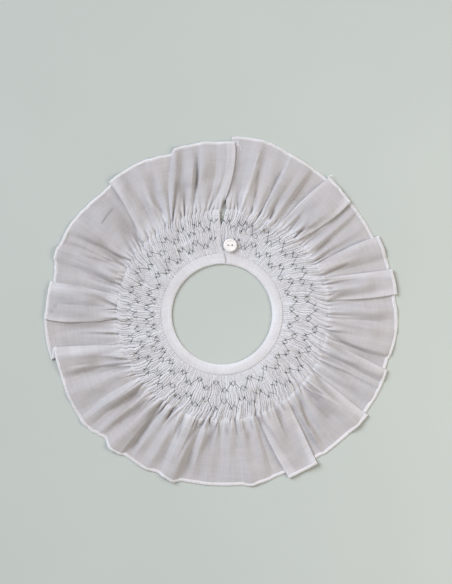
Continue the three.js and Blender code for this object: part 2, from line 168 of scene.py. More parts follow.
def add_node(tree, kind, inputs=None, **settings):
    """A node with its settings. Its inputs are values, other nodes' sockets, or nodes for their first one."""
    node = tree.nodes.new(kind)
    for name, value in settings.items():
        setattr(node, name, value)
    for name, value in (inputs or {}).items():
        if isinstance(value, bpy.types.Node):
            value = value.outputs[0]
        if isinstance(value, bpy.types.NodeSocket):
            tree.links.new(value, node.inputs[name])
        else:
            node.inputs[name].default_value = value
    return node


def maths(tree, operation, *values):
    """A sum or product of values and sockets."""
    return add_node(tree, "ShaderNodeMath", dict(enumerate(values)), operation=operation)


def ranged(tree, value, given, made=(0.0, 1.0)):
    """A value brought from one range to another."""
    ends = {"From Min": given[0], "From Max": given[1], "To Min": made[0], "To Max": made[1]}
    return add_node(tree, "ShaderNodeMapRange", {0: value, **ends})


def mixed(tree, share, first, second, blend="MIX"):
    """A mix of two colours, each a hex value or a socket."""
    a, b = (linear(colour) if isinstance(colour, str) else colour for colour in (first, second))
    inputs = {0: share, 6: a, 7: b}
    return add_node(tree, "ShaderNodeMix", inputs, data_type="RGBA", blend_type=blend).outputs[2]


def noise(tree, where, scale, detail, **more):
    """Soft noise from 0 to 1."""
    return add_node(tree, "ShaderNodeTexNoise", {"Vector": where, "Scale": scale, "Detail": detail, **more})


def slubs(tree, uv, length, width, seed):
    """Thick threads: noise drawn out along one direction of the weave."""
    drawn_out = {"Vector": uv, "Location": (seed, seed, 0), "Scale": (1 / length, 1 / width, 1)}
    stretched = add_node(tree, "ShaderNodeMapping", drawn_out)
    return noise(tree, stretched, scale=1.0, detail=2.0, Roughness=0.6)


def new_material(name):
    """An empty material and its node tree."""
    material = bpy.data.materials.new(name)
    material.use_nodes = True
    material.node_tree.nodes.clear()
    return material, material.node_tree


def finished(material, kind, inputs):
    """The material with its last shader on its output."""
    tree = material.node_tree
    add_node(tree, "ShaderNodeOutputMaterial", {"Surface": add_node(tree, kind, inputs)})
    return material


def lawn_material():
    """Lawn coloured by layers, painted crease shade, wear and thick threads; relief of weave, threads and
    puckers.
    """
    material, tree = new_material("white_cotton_lawn_washed")
    uv = add_node(tree, "ShaderNodeUVMap", uv_map="cloth")
    layers_and_crease_shade, drawn_up = (
        add_node(tree, "ShaderNodeAttribute", attribute_name=name).outputs["Fac"]
        for name in ("layers_and_crease_shade", "drawn_up")
    )
    # Below 0 the layers value paints shade: the lawn turns towards the creased colour down in creases and
    # gathers.
    body = mixed(tree, ranged(tree, layers_and_crease_shade, LAYER_RANGE), LAWN_COLOURS["creased"], LAWN_COLOURS["layered"])
    clouds = noise(tree, uv, 1 / CLOUDS["size"], detail=3.0)
    worn = ranged(tree, clouds, CLOUDS["from"], CLOUDS["to"])
    aged = mixed(tree, worn, body, LAWN_COLOURS["worn"])
    across = slubs(tree, uv, SLUB["length"], SLUB["width"], SLUB_SEEDS[0])
    along = slubs(tree, uv, SLUB["width"], SLUB["length"], SLUB_SEEDS[1])
    thick = maths(tree, "ADD", across, along)
    shade = ranged(tree, thick, SLUB["from"], SLUB["to"])
    colour = add_node(tree, "ShaderNodeVectorMath", {0: aged, "Scale": shade}, operation="SCALE")
    lines = {"Vector": uv, "Scale": WAVE_PERIOD / WEAVE["pitch"], **WAVE_UNEVEN}
    waves = [
        add_node(tree, "ShaderNodeTexWave", lines, bands_direction=way).outputs["Fac"] for way in ("X", "Y")
    ]
    relief = maths(tree, "ADD", maths(tree, "MULTIPLY", *waves), thick)
    fine = slubs(tree, uv, PUCKER["width"], PUCKER["length"], SLUB_SEEDS[2])
    puckers = maths(tree, "MULTIPLY", fine, drawn_up)
    creased = add_node(tree, "ShaderNodeBump", {"Distance": PUCKER["depth"], "Height": puckers})
    woven = {"Strength": WEAVE["strength"], "Distance": WEAVE["depth"], "Height": relief, "Normal": creased}
    bump = add_node(tree, "ShaderNodeBump", woven)
    cloth = add_node(tree, "ShaderNodeBsdfPrincipled", {"Base Color": colour, "Normal": bump, **LAWN_FINISH})
    warm = mixed(tree, 1.0, colour, LAWN_COLOURS["shone_through"], "MULTIPLY")
    glow = add_node(tree, "ShaderNodeBsdfTranslucent", {"Color": warm, "Normal": bump})
    return finished(material, "ShaderNodeMixShader", {0: SEE_THROUGH, 1: cloth, 2: glow})


LAWN = lawn_material()


def new_mesh(name, vertices, faces, material):
    """A mesh with smooth faces."""
    mesh = bpy.data.meshes.new(name)
    mesh.from_pydata(np.asarray(vertices).tolist(), [], [list(map(int, face)) for face in faces])
    mesh.polygons.foreach_set("use_smooth", [True] * len(mesh.polygons))
    mesh.materials.append(material)
    return mesh


def add_object(name, data):
    """A mesh, light or camera as an object of the scene."""
    thing = bpy.data.objects.new(name, data)
    bpy.context.scene.collection.objects.link(thing)
    return thing


def add_piece(name, mesh):
    """A mesh as a piece of the collar, which rides with it."""
    piece = add_object(name, mesh)
    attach(piece, "root")
    return piece


def store(mesh, name, values, kind="FLOAT"):
    """A value or a vector on each point of a mesh."""
    data = mesh.attributes.new(name, kind, "POINT").data
    data.foreach_set("value" if kind == "FLOAT" else "vector", np.ravel(values))


def grid_faces(points):
    """The faces between the points of a grid, facing up."""
    columns, rows = points.shape[:2]
    index = np.arange(columns * rows).reshape(columns, rows)
    return np.stack([index[:-1, :-1], index[1:, :-1], index[1:, 1:], index[:-1, 1:]], axis=-1).reshape(-1, 4)


def cloth_piece(name, points, uv, layers_and_crease_shade, drawn_up):
    """A thin shell of lawn on a grid of points, with the weave's coordinates, and how layered and how tightly
    drawn up it is, each 0 to 1. The layers value falls below 0 in a crease, where it paints shade."""
    faces = grid_faces(points)
    mesh = new_mesh(name, points.reshape(-1, 3), faces, LAWN)
    mesh.uv_layers.new(name="cloth").data.foreach_set("uv", uv.reshape(-1, 2)[faces.ravel()].ravel())
    store(mesh, "layers_and_crease_shade", np.broadcast_to(layers_and_crease_shade, points.shape[:2]))
    store(mesh, "drawn_up", np.broadcast_to(drawn_up, points.shape[:2]))
    edge_uses = np.zeros(len(mesh.loops), np.int32)
    mesh.loops.foreach_get("edge_index", edge_uses)
    mesh.edges.foreach_set("use_edge_sharp", np.bincount(edge_uses) == 1)
    piece = add_piece(name, mesh)
    shell = piece.modifiers.new("thickness", "SOLIDIFY")
    shell.thickness = LAWN_THICKNESS * MM
    shell.offset = 0
    return piece


# Ruffle: the outer part of the strip, which falls free below the last gathering row. Its fullness lies in
# soft folds, some turned over each other, and fine gathers run out of the gathering row and die away.
GATHER_RADIUS = 90.6
STRIP_LENGTH = 1150.0
RUFFLE_WIDTH = 59.5
HALF_WAY = 0.45
LAYER_STEP = {"root": 0.28, "hem": 0.75}
LAP_FLATNESS = 0.62
HEM_CALM = 0.64
ROOT_HEIGHT = {
    "topEnd": 1.9, "lowEnd": 0.2, "placket": 0.8, "crest": 1.9, "dip": 0.3, "over": 2.6, "under": 2.6
}
ROOT_REACH = 2.4
HALF_WAY_REACH = 0.6
COLUMN_STEP = 0.6
FOLD_FULLNESS = (0.75, 1.35)
TURN_POINTS = 7
RUN_POINTS = 5
OUT_ROWS = 28
OUT_SPREAD = 1.2
OUT = np.linspace(0, 1, OUT_ROWS) ** OUT_SPREAD
HEIGHT_SCALE = 1.15
REST_HEIGHT = 0.2
TROUGH_TIGHTNESS = 0.85
RIM_TURN = 0.1

# Where each fold lies at the gathering row, half way out and at the hem. crest and dip are ridges and
# troughs. over is a folded edge that lies over what follows it, under one that lies over what comes before
# it. placket is the inner line of a turned hem along the opening. rise and lift are the height of the cloth
# half way out and at the hem, reach is how far the cloth under a folded edge runs back, and rim is the hem's
# radius, with rimUnder for the cloth under the edge.
FOLDS = table(
    ["kind", "root", "half", "hem", "rise", "lift", "rim", "reach", "rimUnder"],
    [
        ("topEnd", 89.8, 85.9, 85.7, 2.0, 2.0, 148.0),
        ("placket", 95, 89.2, 88.4, 2.2, 2.0, 148.2),
        ("dip", 98, 93.2, 92, 0.4, 0.3, 147.9),
        ("crest", 103, 98.8, 96.4, 3.5, 2.1, 149.0),
        ("dip", 106.3, 100.6, 98.2, 0, 0.3, 148.3),
        ("crest", 108, 102.6, 100.6, 3.7, 1.7, 148.0),
        ("dip", 112.5, 107.2, 103.4, 1.6, 1.3, 148.2),
        ("crest", 117, 110.6, 105.6, 3.9, 2.1, 148.0),
        ("dip", 118.8, 113.6, 107.6, 0.9, 0.2, 144.4),
        ("crest", 120.2, 116, 113.4, 2.2, 1.1, 146.5),
        ("dip", 121.8, 118.9, 117.3, 0.2, 0.5, 148.2),
        ("crest", 126.3, 121.9, 120.6, 3.2, 1.3, 148.8),
        ("dip", 128.4, 125.4, 124.4, 0.2, 0.3, 149.0),
        ("crest", 131.5, 129.2, 127.4, 3.2, 3.2, 149.2),
        ("over", 137.4, 132.8, 130.4, 3.0, 3.0, 149.0, 5.5, 146.8),
        ("dip", 139.8, 136, 134.4, 0, 0, 146.6),
        ("crest", 143.5, 142, 141, 1.7, 0.7, 148.5),
        ("dip", 146.2, 145.4, 145, 0.2, 0.1, 150.0),
        ("crest", 149.8, 149.6, 149.5, 3.2, 1.5, 151.3),
        ("dip", 152, 152, 152.6, 0, 0.1, 151.6),
        ("crest", 153.5, 153.7, 154.4, 1.6, 0.7, 151.3),
        ("dip", 154.9, 154.9, 156, 0.3, 0.3, 151.4),
        ("crest", 157, 157.4, 158.6, 4.2, 2.4, 152.7),
        ("crest", 161.8, 160.3, 161, 3.6, 2.2, 152.2),
        ("dip", 164.6, 163.3, 163.6, 0, 0.1, 149.5),
        ("crest", 166.9, 166.2, 166.3, 1.3, 0.5, 147.8),
        ("under", 169.6, 169, 169.2, 3.0, 3.0, 149.9, 7, 146.6),
        ("crest", 174, 173, 172.8, 3.8, 3.1, 150.3),
        ("dip", 176.7, 176.3, 176.6, 2.3, 2.1, 150.9),
        ("over", 182.2, 183.3, 181.6, 3.5, 2.2, 151.6, 5, 152.3),
        ("dip", 185.6, 185.4, 184.2, 0, 0.1, 152.5),
        ("crest", 189.3, 188.2, 187.5, 1.6, 0.6, 152.3),
        ("under", 197, 193.3, 191.2, 3.2, 3.0, 146.6, 9, 151.7),
        ("crest", 201.5, 197.6, 195.6, 4.2, 3.1, 147.3),
        ("crest", 205.4, 202, 199.8, 3.6, 2.3, 147.7),
        ("dip", 207.3, 204.3, 202.5, 0, 0.2, 148.5),
        ("crest", 210.6, 209.4, 208.5, 2.7, 1.2, 150.0),
        ("dip", 216.8, 215.2, 215.2, 0, 0.3, 151.2),
        ("crest", 219.8, 218.2, 218, 3.3, 1.9, 151.9),
        ("dip", 223.7, 221.7, 221.4, 0, 0.5, 151.0),
        ("crest", 226.1, 224.6, 224, 3.1, 1.3, 148.5),
        ("dip", 229.6, 227.5, 226.6, 0, 0.2, 146.6),
        ("crest", 232.6, 231, 230.4, 4.7, 3.6, 150.5),
        ("crest", 236, 234.4, 233.2, 4.2, 2.7, 149.5),
        ("dip", 238.2, 236.5, 235.6, 0, 0.1, 147.4),
        ("crest", 240.4, 239, 238.5, 3.1, 1.3, 147.6),
        ("dip", 242.9, 241.7, 241.2, 1.7, 1.1, 148.2),
        ("crest", 246.5, 245.4, 243.6, 3.1, 2.1, 148.4),
        ("dip", 249.3, 248.4, 247.8, 1.0, 1.1, 147.0),
        ("crest", 253, 251.6, 250.6, 4.9, 3.8, 148.3),
        ("crest", 257.4, 254.8, 253.3, 4.9, 4.0, 150.0),
        ("dip", 260.6, 257.6, 256.6, 0, 0.3, 147.3),
        ("crest", 262, 260.5, 259.5, 1.8, 0.6, 147.0),
        ("dip", 263.4, 262.4, 262, 1.1, 0.4, 146.9),
        ("crest", 267, 265.6, 265, 1.8, 0.5, 147.0),
        ("dip", 270.6, 269.2, 268.3, 0.5, 0.3, 147.0),
        ("crest", 274, 273, 272.5, 1.8, 0.5, 147.2),
        ("dip", 277, 276.6, 276, 0.8, 0.5, 147.4),
        ("crest", 278.8, 279.4, 280, 2.6, 1.5, 149.5),
        ("dip", 282.5, 282.6, 283, 0.9, 1.0, 148.6),
        ("crest", 286.6, 285.6, 285.8, 2.4, 1.0, 148.0),
        ("dip", 288.2, 287.8, 288.6, 0, 0.1, 146.8),
        ("under", 289.4, 290.3, 292.3, 3.2, 3.0, 151.7, 8, 146.6),
        ("crest", 294.2, 295.2, 296, 3.8, 3.1, 151.5),
        ("dip", 299.4, 299, 298.4, 2.4, 3.0, 151.6),
        ("over", 307.3, 304.8, 302.6, 3.2, 3.0, 151.6, 6, 146.5),
        ("dip", 308.4, 306, 304.4, 0, 0.1, 147.5),
        ("crest", 310.7, 307.9, 306.6, 3.3, 1.1, 148.6),
        ("dip", 313.6, 309.8, 308.6, 0.2, 0.5, 148.7),
        ("crest", 315.6, 312.6, 311.8, 1.9, 1.0, 148.8),
        ("dip", 317.4, 316.6, 316, 0.8, 0.9, 149.5),
        ("crest", 319.2, 321, 322, 3.8, 3.1, 151.4),
        ("over", 327.8, 326.5, 325.3, 3.3, 3.0, 152.0, 7, 149.5),
        ("dip", 329.6, 328.6, 328, 0, 0, 149.4),
        ("crest", 332.5, 332.3, 332, 2.0, 0.7, 150.0),
        ("dip", 334.6, 334.3, 334, 0.2, 0.6, 150.0),
        ("crest", 336.8, 335.8, 335.2, 1.9, 1.0, 150.0),
        ("dip", 339.3, 337.6, 336.7, 0, 0.3, 150.0),
        ("crest", 342.2, 340.4, 339.2, 3.5, 3.0, 149.7),
        ("over", 346, 343.6, 341.3, 3.5, 3.0, 149.5, 5, 147.8),
        ("dip", 347.6, 345.2, 344.5, 0, 0, 147.6),
        ("crest", 349.6, 347.3, 347, 3.7, 1.7, 149.0),
        ("dip", 351.3, 351, 350.8, 2.5, 1.3, 150.2),
        ("crest", 354, 354, 353.6, 3.4, 1.7, 150.8),
        ("dip", 357.4, 357.5, 356.8, 0, 0.7, 150.9),
        ("crest", 361.8, 361.4, 361, 3.1, 1.5, 150.3),
        ("dip", 364.6, 364.4, 364.6, 0, 0, 149.0),
        ("under", 367.5, 366.3, 366.6, 3.5, 3.1, 151.0, 7, 148.4),
        ("crest", 371.2, 371, 370.6, 4.2, 3.2, 151.2),
        ("over", 379.8, 377, 374.8, 3.4, 3.0, 150.8, 6, 149.0),
        ("dip", 381.4, 379.9, 378.4, 0, 0, 149.2),
        ("crest", 384.2, 383.4, 383.2, 3.3, 3.3, 150.0),
        ("over", 388, 387.9, 386.6, 3.5, 3.0, 150.4, 6, 146.2),
        ("dip", 389.8, 389.6, 388.6, 0, 0, 146.0),
        ("crest", 391.8, 391.7, 392, 1.7, 0.8, 146.3),
        ("dip", 394.3, 394.7, 396.2, 0, 0.1, 146.3),
        ("crest", 397, 397, 397.5, 2.4, 1.1, 146.3),
        ("dip", 400.6, 400, 400, 0, 0, 146.2),
        ("under", 404.3, 401.3, 401.2, 3.7, 3.0, 146.6, 7, 146.2),
        ("crest", 407.8, 405, 404.8, 4.5, 3.1, 147.2),
        ("dip", 411, 409.6, 407.8, 2.7, 3.0, 148.5),
        ("over", 417, 415, 411.9, 3.4, 3.0, 149.3, 4.5, 147.0),
        ("dip", 420, 418.3, 416.5, 0, 0, 147.3),
        ("crest", 422, 420.3, 419, 3.7, 1.3, 147.8),
        ("dip", 423.7, 422.8, 422, 2.6, 1.3, 148.3),
        ("crest", 427.8, 426.3, 426, 3.5, 1.9, 149.3),
        ("dip", 429.4, 427.7, 427.3, 0.3, 0.9, 149.8),
        ("crest", 431.4, 431.2, 431, 2.2, 1.3, 151.5),
        ("dip", 433.8, 434.6, 434.4, 0.1, 1.0, 152.8),
        ("crest", 439.4, 438.2, 436.9, 3.0, 1.7, 153.4),
        ("dip", 442.4, 441.4, 440.4, 0.3, 0.3, 153.3),
        ("placket", 446, 444.7, 444.6, 0, 0, 153.0),
        ("lowEnd", 448.0, 447.4, 446.8, 0, 0, 152.4),
    ],
)

# Creases that are sharper or shorter than the folds: each a soft trough between two places, or a ridge where
# its depth is below 0. A trough is also painted darker and a ridge lighter, as shade and light.
CREASES = table(
    ["angle", "radius", "endAngle", "endRadius", "width", "depth"],
    [
        (73.2, 98.8, 75.8, 126.5, 1.2, 1.0),
        (76.4, 132.0, 79.3, 95.0, 1.4, -0.7),
        (63.0, 91.0, 63.2, 100.0, 0.9, 1.0),
        (67.4, 91.0, 66.8, 108.0, 1.0, 0.7),
        (21.3, 94.6, 21.8, 116.0, 1.3, 0.6),
        (34.2, 98.0, 34.6, 113.0, 1.1, 0.7),
        (10.0, 92.0, 10.8, 99.0, 1.0, 0.9),
        (13.8, 92.0, 13.4, 97.0, 0.9, 0.8),
        (90.2, 128.6, 91.5, 111.4, 0.9, -0.35),
        (91.5, 111.4, 94.5, 96.0, 0.9, -0.35),
        (108.5, 103.0, 108.5, 119.0, 3.2, 0.6),
        (117.0, 135.4, 118.5, 120.0, 1.9, 0.6),
        (136.0, 130.3, 143.2, 129.4, 1.5, 0.35),
        (136.5, 107.0, 136.5, 117.4, 2.8, 0.5),
        (180.0, 147.4, 176.0, 141.4, 1.0, 0.6),
        (176.2, 137.1, 176.2, 124.3, 1.0, 0.4),
        (179.5, 150.5, 181.5, 150.5, 1.2, -0.6),
        (226.0, 128.6, 228.0, 126.0, 0.8, 0.4),
        (242.0, 91.0, 242.2, 101.0, 1.1, 0.9),
        (247.2, 92.0, 247.4, 112.0, 1.0, -0.5),
        (249.6, 92.0, 250.2, 112.0, 1.2, 0.9),
        (262.2, 91.0, 262.0, 99.0, 1.0, 0.9),
        (264.4, 91.0, 264.2, 98.0, 0.9, 0.9),
        (268.4, 91.0, 268.8, 104.0, 1.0, 0.8),
        (277.2, 91.0, 277.4, 107.0, 0.9, 0.9),
        (281.0, 101.1, 281.0, 92.6, 0.9, 0.8),
        (282.5, 102.8, 282.5, 109.7, 2.3, 0.7),
        (285.0, 102.8, 285.0, 92.6, 0.9, 0.8),
        (298.2, 111.4, 299.6, 94.3, 1.1, 0.8),
        (303.0, 100.0, 303.0, 92.0, 0.8, 0.6),
        (307.4, 124.0, 313.4, 94.0, 1.3, 0.9),
        (319.8, 95.0, 321.4, 109.0, 1.0, 0.8),
        (322.6, 128.0, 318.6, 92.0, 1.1, -0.6),
        (316.0, 111.4, 316.0, 128.6, 1.6, 0.6),
        (320.0, 111.4, 320.0, 92.6, 0.8, 0.7),
        (321.3, 111.4, 321.3, 92.6, 0.8, 0.7),
        (330.0, 126.8, 330.0, 133.7, 3.2, 0.4),
        (351.0, 102.8, 351.0, 94.3, 0.9, 0.8),
        (360.8, 100.0, 360.8, 92.0, 0.8, 0.6),
        (373.0, 98.6, 373.0, 93.5, 0.9, 0.6),
        (381.5, 115.7, 381.5, 94.3, 1.0, 0.7),
        (409.7, 107.1, 409.7, 92.6, 0.8, 0.7),
        (411.0, 107.1, 411.0, 92.6, 0.8, 0.7),
        (423.6, 96.8, 423.6, 91.7, 0.8, 0.6),
        (152.6, 91.0, 154.6, 112.0, 1.0, 0.8),
        (155.0, 105.0, 157.2, 130.0, 1.1, 0.6),
        (165.2, 91.0, 164.4, 118.0, 1.6, 0.8),
        (120.4, 92.0, 122.8, 118.0, 1.1, -0.6),
        (201.0, 122.0, 199.8, 136.0, 0.9, -0.5),
        (186.2, 92.0, 184.0, 136.0, 2.6, 0.7),
        (437.0, 141.4, 438.0, 120.0, 1.2, -0.5),
        (438.0, 120.0, 439.8, 98.6, 1.1, -0.5),
        (440.5, 102.8, 440.5, 93.0, 0.9, 0.7),
        (442.0, 96.0, 442.0, 92.0, 0.8, 0.6),
        (272.2, 92.0, 272.4, 104.0, 2.4, 1.0),
        (256.9, 91.5, 257.0, 101.5, 0.9, 0.9),
        (303.8, 91.5, 303.6, 98.7, 1.3, 0.7),
        (301.3, 91.5, 299.0, 102.3, 1.6, 0.8),
        (287.2, 91.5, 287.0, 97.0, 1.0, 0.7),
    ],
)


def along_fold(root, half, hem):
    """The parabola through a value at the gathering row, half way out and at the hem."""
    m = HALF_WAY
    return (
        root * (OUT - m) * (OUT - 1) / m
        + half * OUT * (OUT - 1) / (m * (m - 1))
        + hem * OUT * (OUT - m) / (1 - m)
    )


def new_column(angle, height, rim, **more):
    """One line from the gathering row to the hem: its angle, the height of the cloth and the hem's radius."""
    return {"angle": angle, "height": height, "rim": rim, "placket": False, "dip": False, "tip": None, **more}


def plain_column(fold):
    """The line of a crest, a dip or an edge of the opening."""
    kind = fold["kind"]
    return new_column(
        along_fold(fold["root"], fold["half"], fold["hem"]),
        np.maximum(0, along_fold(ROOT_HEIGHT[kind], fold["rise"], HEM_CALM * fold["lift"])),
        fold["rim"],
        placket=kind in ("topEnd", "placket", "lowEnd"),
        dip=kind == "dip",
    )


def lap_columns(fold):
    """A folded edge: the cloth turns under at the edge, runs back by its reach and turns again. The hem runs
    from the upper rim to the lower one along it."""
    back = -1 if fold["kind"] == "over" else 1
    radius = between(GATHER_RADIUS, fold["rim"], OUT)
    middle = between(LAYER_STEP["root"], LAYER_STEP["hem"], smooth(OUT))
    upper = LAP_FLATNESS * along_fold(ROOT_HEIGHT[fold["kind"]], fold["rise"], fold["lift"])
    upper = np.maximum(2 * middle, upper)
    edge = along_fold(fold["root"], fold["half"], fold["hem"])
    reach = along_fold(ROOT_REACH, HALF_WAY_REACH * fold["reach"], fold["reach"])
    columns = []

    def add(set_back, height, rim_share):
        """One line of the fold, set back from its edge."""
        angle = edge + back * np.degrees(set_back / radius)
        columns.append(new_column(angle, height, between(fold["rim"], fold["rimUnder"], rim_share)))

    turns = np.radians(np.linspace(90, 270, TURN_POINTS))
    half = (upper - middle) / 2
    for turn in turns:
        share = RIM_TURN * (1 - math.sin(turn))
        add(half * (1 + math.cos(turn)), middle + half * (1 + math.sin(turn)), share)
    for share in np.linspace(0, 1, RUN_POINTS + 2)[1:-1]:
        add(between(half, reach - middle / 2, share), middle, 2 * RIM_TURN + (1 - 4 * RIM_TURN) * share)
    half = middle / 2
    for turn in turns:
        share = 1 - RIM_TURN - RIM_TURN * math.sin(turn)
        add(reach - half * (1 + math.cos(turn)), half * (1 + math.sin(turn)), share)
    columns[TURN_POINTS // 2]["tip"] = fold["kind"]
    return columns if fold["kind"] == "over" else columns[::-1]


def blend_columns(a, b):
    """Columns between two others, rising or falling smoothly. A trough is tight at the gathering row and
    opens out towards the hem."""
    half_way = int(np.argmin(np.abs(OUT - HALF_WAY)))
    width = math.radians(b["angle"][half_way] - a["angle"][half_way])
    radius = between(GATHER_RADIUS, a["rim"], HALF_WAY)
    steps = max(1, math.ceil(width * radius / COLUMN_STEP))
    shares = np.arange(1, steps) / steps
    fullness = rng.uniform(*FOLD_FULLNESS)
    blended = []
    for share in shares:
        rise = smooth(share**fullness)
        tight = rise
        if a["dip"] and not b["dip"]:
            tight = math.sin(math.pi / 2 * share)
        elif b["dip"] and not a["dip"]:
            tight = 1 - math.cos(math.pi / 2 * share)
        rise = rise + (tight - rise) * TROUGH_TIGHTNESS * (1 - smooth(OUT))
        blended.append(
            new_column(
                between(a["angle"], b["angle"], share),
                between(a["height"], b["height"], rise),
                between(a["rim"], b["rim"], smooth(share)),
                placket=a["placket"] and b["placket"],
            )
        )
    return blended


columns = []
for fold in FOLDS:
    own = lap_columns(fold) if fold["kind"] in ("over", "under") else [plain_column(fold)]
    if columns:
        columns += blend_columns(columns[-1], own[0])
    columns += own

angle, height, rim, placket = (
    np.array([column[name] for column in columns]) for name in ("angle", "height", "rim", "placket")
)
radius = between(GATHER_RADIUS, rim[:, None], OUT)
beyond = radius - GATHER_RADIUS

# Which places lie under another layer, and how layered each place is.
LAP_SOFTNESS = 2.5
LAP_LAYERS = 0.46
PLACKET_LAYERS = 0.38
ROOT_LAYERS = {"share": 0.8, "reach": 9.0}
covered = np.zeros(angle.shape, bool)
layers_and_crease_shade = ROOT_LAYERS["share"] * np.exp(-beyond / ROOT_LAYERS["reach"])
for k, column in enumerate(columns):
    if column["tip"] == "over":
        covered[k + 1 :] |= angle[k + 1 :] < angle[k]
        far = angle[k + TURN_POINTS + RUN_POINTS]
        lap = LAP_LAYERS * smooth((angle[: k + 1] - far) / LAP_SOFTNESS + 0.5)
        layers_and_crease_shade[: k + 1] = np.maximum(layers_and_crease_shade[: k + 1], lap)
    if column["tip"] == "under":
        covered[:k] |= angle[:k] > angle[k]
        far = angle[k - TURN_POINTS - RUN_POINTS]
        lap = LAP_LAYERS * smooth((far - angle[k:]) / LAP_SOFTNESS + 0.5)
        layers_and_crease_shade[k:] = np.maximum(layers_and_crease_shade[k:], lap)
layers_and_crease_shade[placket] = np.maximum(layers_and_crease_shade[placket], PLACKET_LAYERS)
layers_and_crease_shade[covered] = np.maximum(layers_and_crease_shade[covered], LAP_LAYERS)

# The gathers: each groove between two pleats of the yoke runs on into the ruffle, opens out and dies away,
# with its own depth, length and lean, and the cloth puffs out between them. Widths and leans are in pleats.
PLEATS = 155
PLEAT_SAMPLES = 4000
PLEAT_UNEVEN = ((0.2, 2.4), (0.15, 1.1))
GATHER = {"shallow": 0.2, "deep": 4.0, "short": 4.0, "long": 30.0, "width": 0.22, "opens": 0.09, "lean": 0.07}
GATHER_REACH = 2
GATHER_SPREAD = {"depth": 1.1, "length": 2.2, "end": 1.3}
ROW_CALM = 0.75
ROW_REACH = 4.5
ROW_DIP = {"depth": 0.6, "width": 1.6, "spacing": 0.8}
PUFFS = {"height": 1.4, "spacing": 1.3, "near": 3.2, "far": 6.5}
# Painted shade: how much greyer the lawn is drawn per millimetre down in a gather groove or a crease.
PAINTED_GROOVE_SHADE = {"gather": 0.3, "crease": 0.6}
ROOT_RISE = {"height": 1.1, "reach": 8.0}
FOLD_CHANGE = {"share": 0.2, "length": 30.0}
PLACKET_STEP = 0.3
CREASE_ENDS = 0.35

# The two edges of the back opening, from the neckband out to the gathering row.
OPENING = table(
    ["radius", "left", "right"],
    [
        (42.9, 85.5, 85.5),
        (46.6, 85.8, 85.8),
        (53.4, 88.2, 88.2),
        (63.7, 90.4, 90.4),
        (75.4, 90.8, 90.8),
        (80.1, 91.15, 89.3),
        (83.7, 91.2, 88.7),
        (87.6, 91.0, 88.3),
        (90.6, 89.8, 88.0),
    ],
)


def opening_edges(at_radius, gap=0):
    """The angles of the left edge of the back opening and, all round the neck, of the right one, each a small
    gap further in."""
    inset = np.degrees(gap / at_radius)
    left, right = (read_off(OPENING, "radius", at_radius, side) for side in ("left", "right"))
    return left + inset, right - inset + 360


def pleat_share(pleat):
    """A pleat's place on the strip, a little uneven, as the gathering threads draw it up."""
    uneven = sum(size * np.sin(rate * pleat) for size, rate in PLEAT_UNEVEN)
    return (pleat + uneven * np.sqrt(np.abs(np.sin(np.pi * pleat / PLEATS)))) / PLEATS


def by_pleat(spacing):
    """Random shares along the gathering row, smooth over some pleats."""
    return chances(pleat_at_root / spacing, 0 * OUT)


every_pleat = np.linspace(0, PLEATS, PLEAT_SAMPLES)
left_edge, right_edge = opening_edges(GATHER_RADIUS)
root_share = (angle[:, 0] - left_edge) / (right_edge - left_edge)
pleat_at_root = np.interp(root_share, pleat_share(every_pleat), every_pleat)
own_groove = np.rint(pleat_at_root).astype(int)
chance = rng.random((2, PLEATS + 1))
gather_depth = between(GATHER["shallow"], GATHER["deep"], chance[0] ** GATHER_SPREAD["depth"])
gather_length = between(GATHER["short"], GATHER["long"], chance[1] ** GATHER_SPREAD["length"])
gather_lean = rng.uniform(-GATHER["lean"], GATHER["lean"], PLEATS + 1)
gather_width = GATHER["width"] * (1 + GATHER["opens"] * beyond)
puff_height = by_pleat(PUFFS["spacing"])
puff_place = beyond / between(PUFFS["near"], PUFFS["far"], by_pleat(PUFFS["spacing"]))
gather = PUFFS["height"] * puff_height * puff_place * np.exp(1 - puff_place)
gather -= ROW_DIP["depth"] * by_pleat(ROW_DIP["spacing"]) * bell(beyond / ROW_DIP["width"])
for neighbour in range(-GATHER_REACH, GATHER_REACH + 1):
    groove = np.clip(own_groove + neighbour, 0, PLEATS)
    off = (pleat_at_root - groove)[:, None] - gather_lean[groove][:, None] * beyond
    fading = (beyond / gather_length[groove][:, None]) ** GATHER_SPREAD["end"]
    depth = gather_depth[groove][:, None] * between(ROW_CALM, 1, smooth(beyond / ROW_REACH))
    groove_depth = depth * np.exp(-((off / gather_width) ** 2) - fading)
    gather -= groove_depth
    # Painted shade: the lawn is drawn greyer down in the groove.
    layers_and_crease_shade -= PAINTED_GROOVE_SHADE["gather"] * np.where(covered, 0, groove_depth)
flat_points = place(radius, angle, 0)[..., :2]
flat_x, flat_y = np.moveaxis(flat_points, -1, 0)
fold_change = 1 + FOLD_CHANGE["share"] * ripples(flat_x, flat_y, FOLD_CHANGE["length"])
top_height = HEIGHT_SCALE * height * fold_change + REST_HEIGHT
top_height += ROOT_RISE["height"] * np.exp(-beyond / ROOT_RISE["reach"])
middle_height = top_height + np.where(covered, 0, gather)
middle_height += np.where(placket[:, None], PLACKET_STEP, 0)

for crease in CREASES:
    start = place(crease["radius"], crease["angle"], 0)[:2]
    run = place(crease["endRadius"], crease["endAngle"], 0)[:2] - start
    share = np.clip(((flat_points - start) @ run) / (run @ run), 0, 1)
    off = np.linalg.norm(flat_points - start - share[..., None] * run, axis=-1) / MM
    taper = between(CREASE_ENDS, 1, np.sin(np.pi * share) ** 0.5)
    crease_depth = np.where(covered, 0, crease["depth"] * taper * bell(off / crease["width"]))
    middle_height -= crease_depth
    # Painted shade down in a trough, and painted light along a ridge, whose depth is below 0.
    layers_and_crease_shade -= PAINTED_GROOVE_SHADE["crease"] * crease_depth

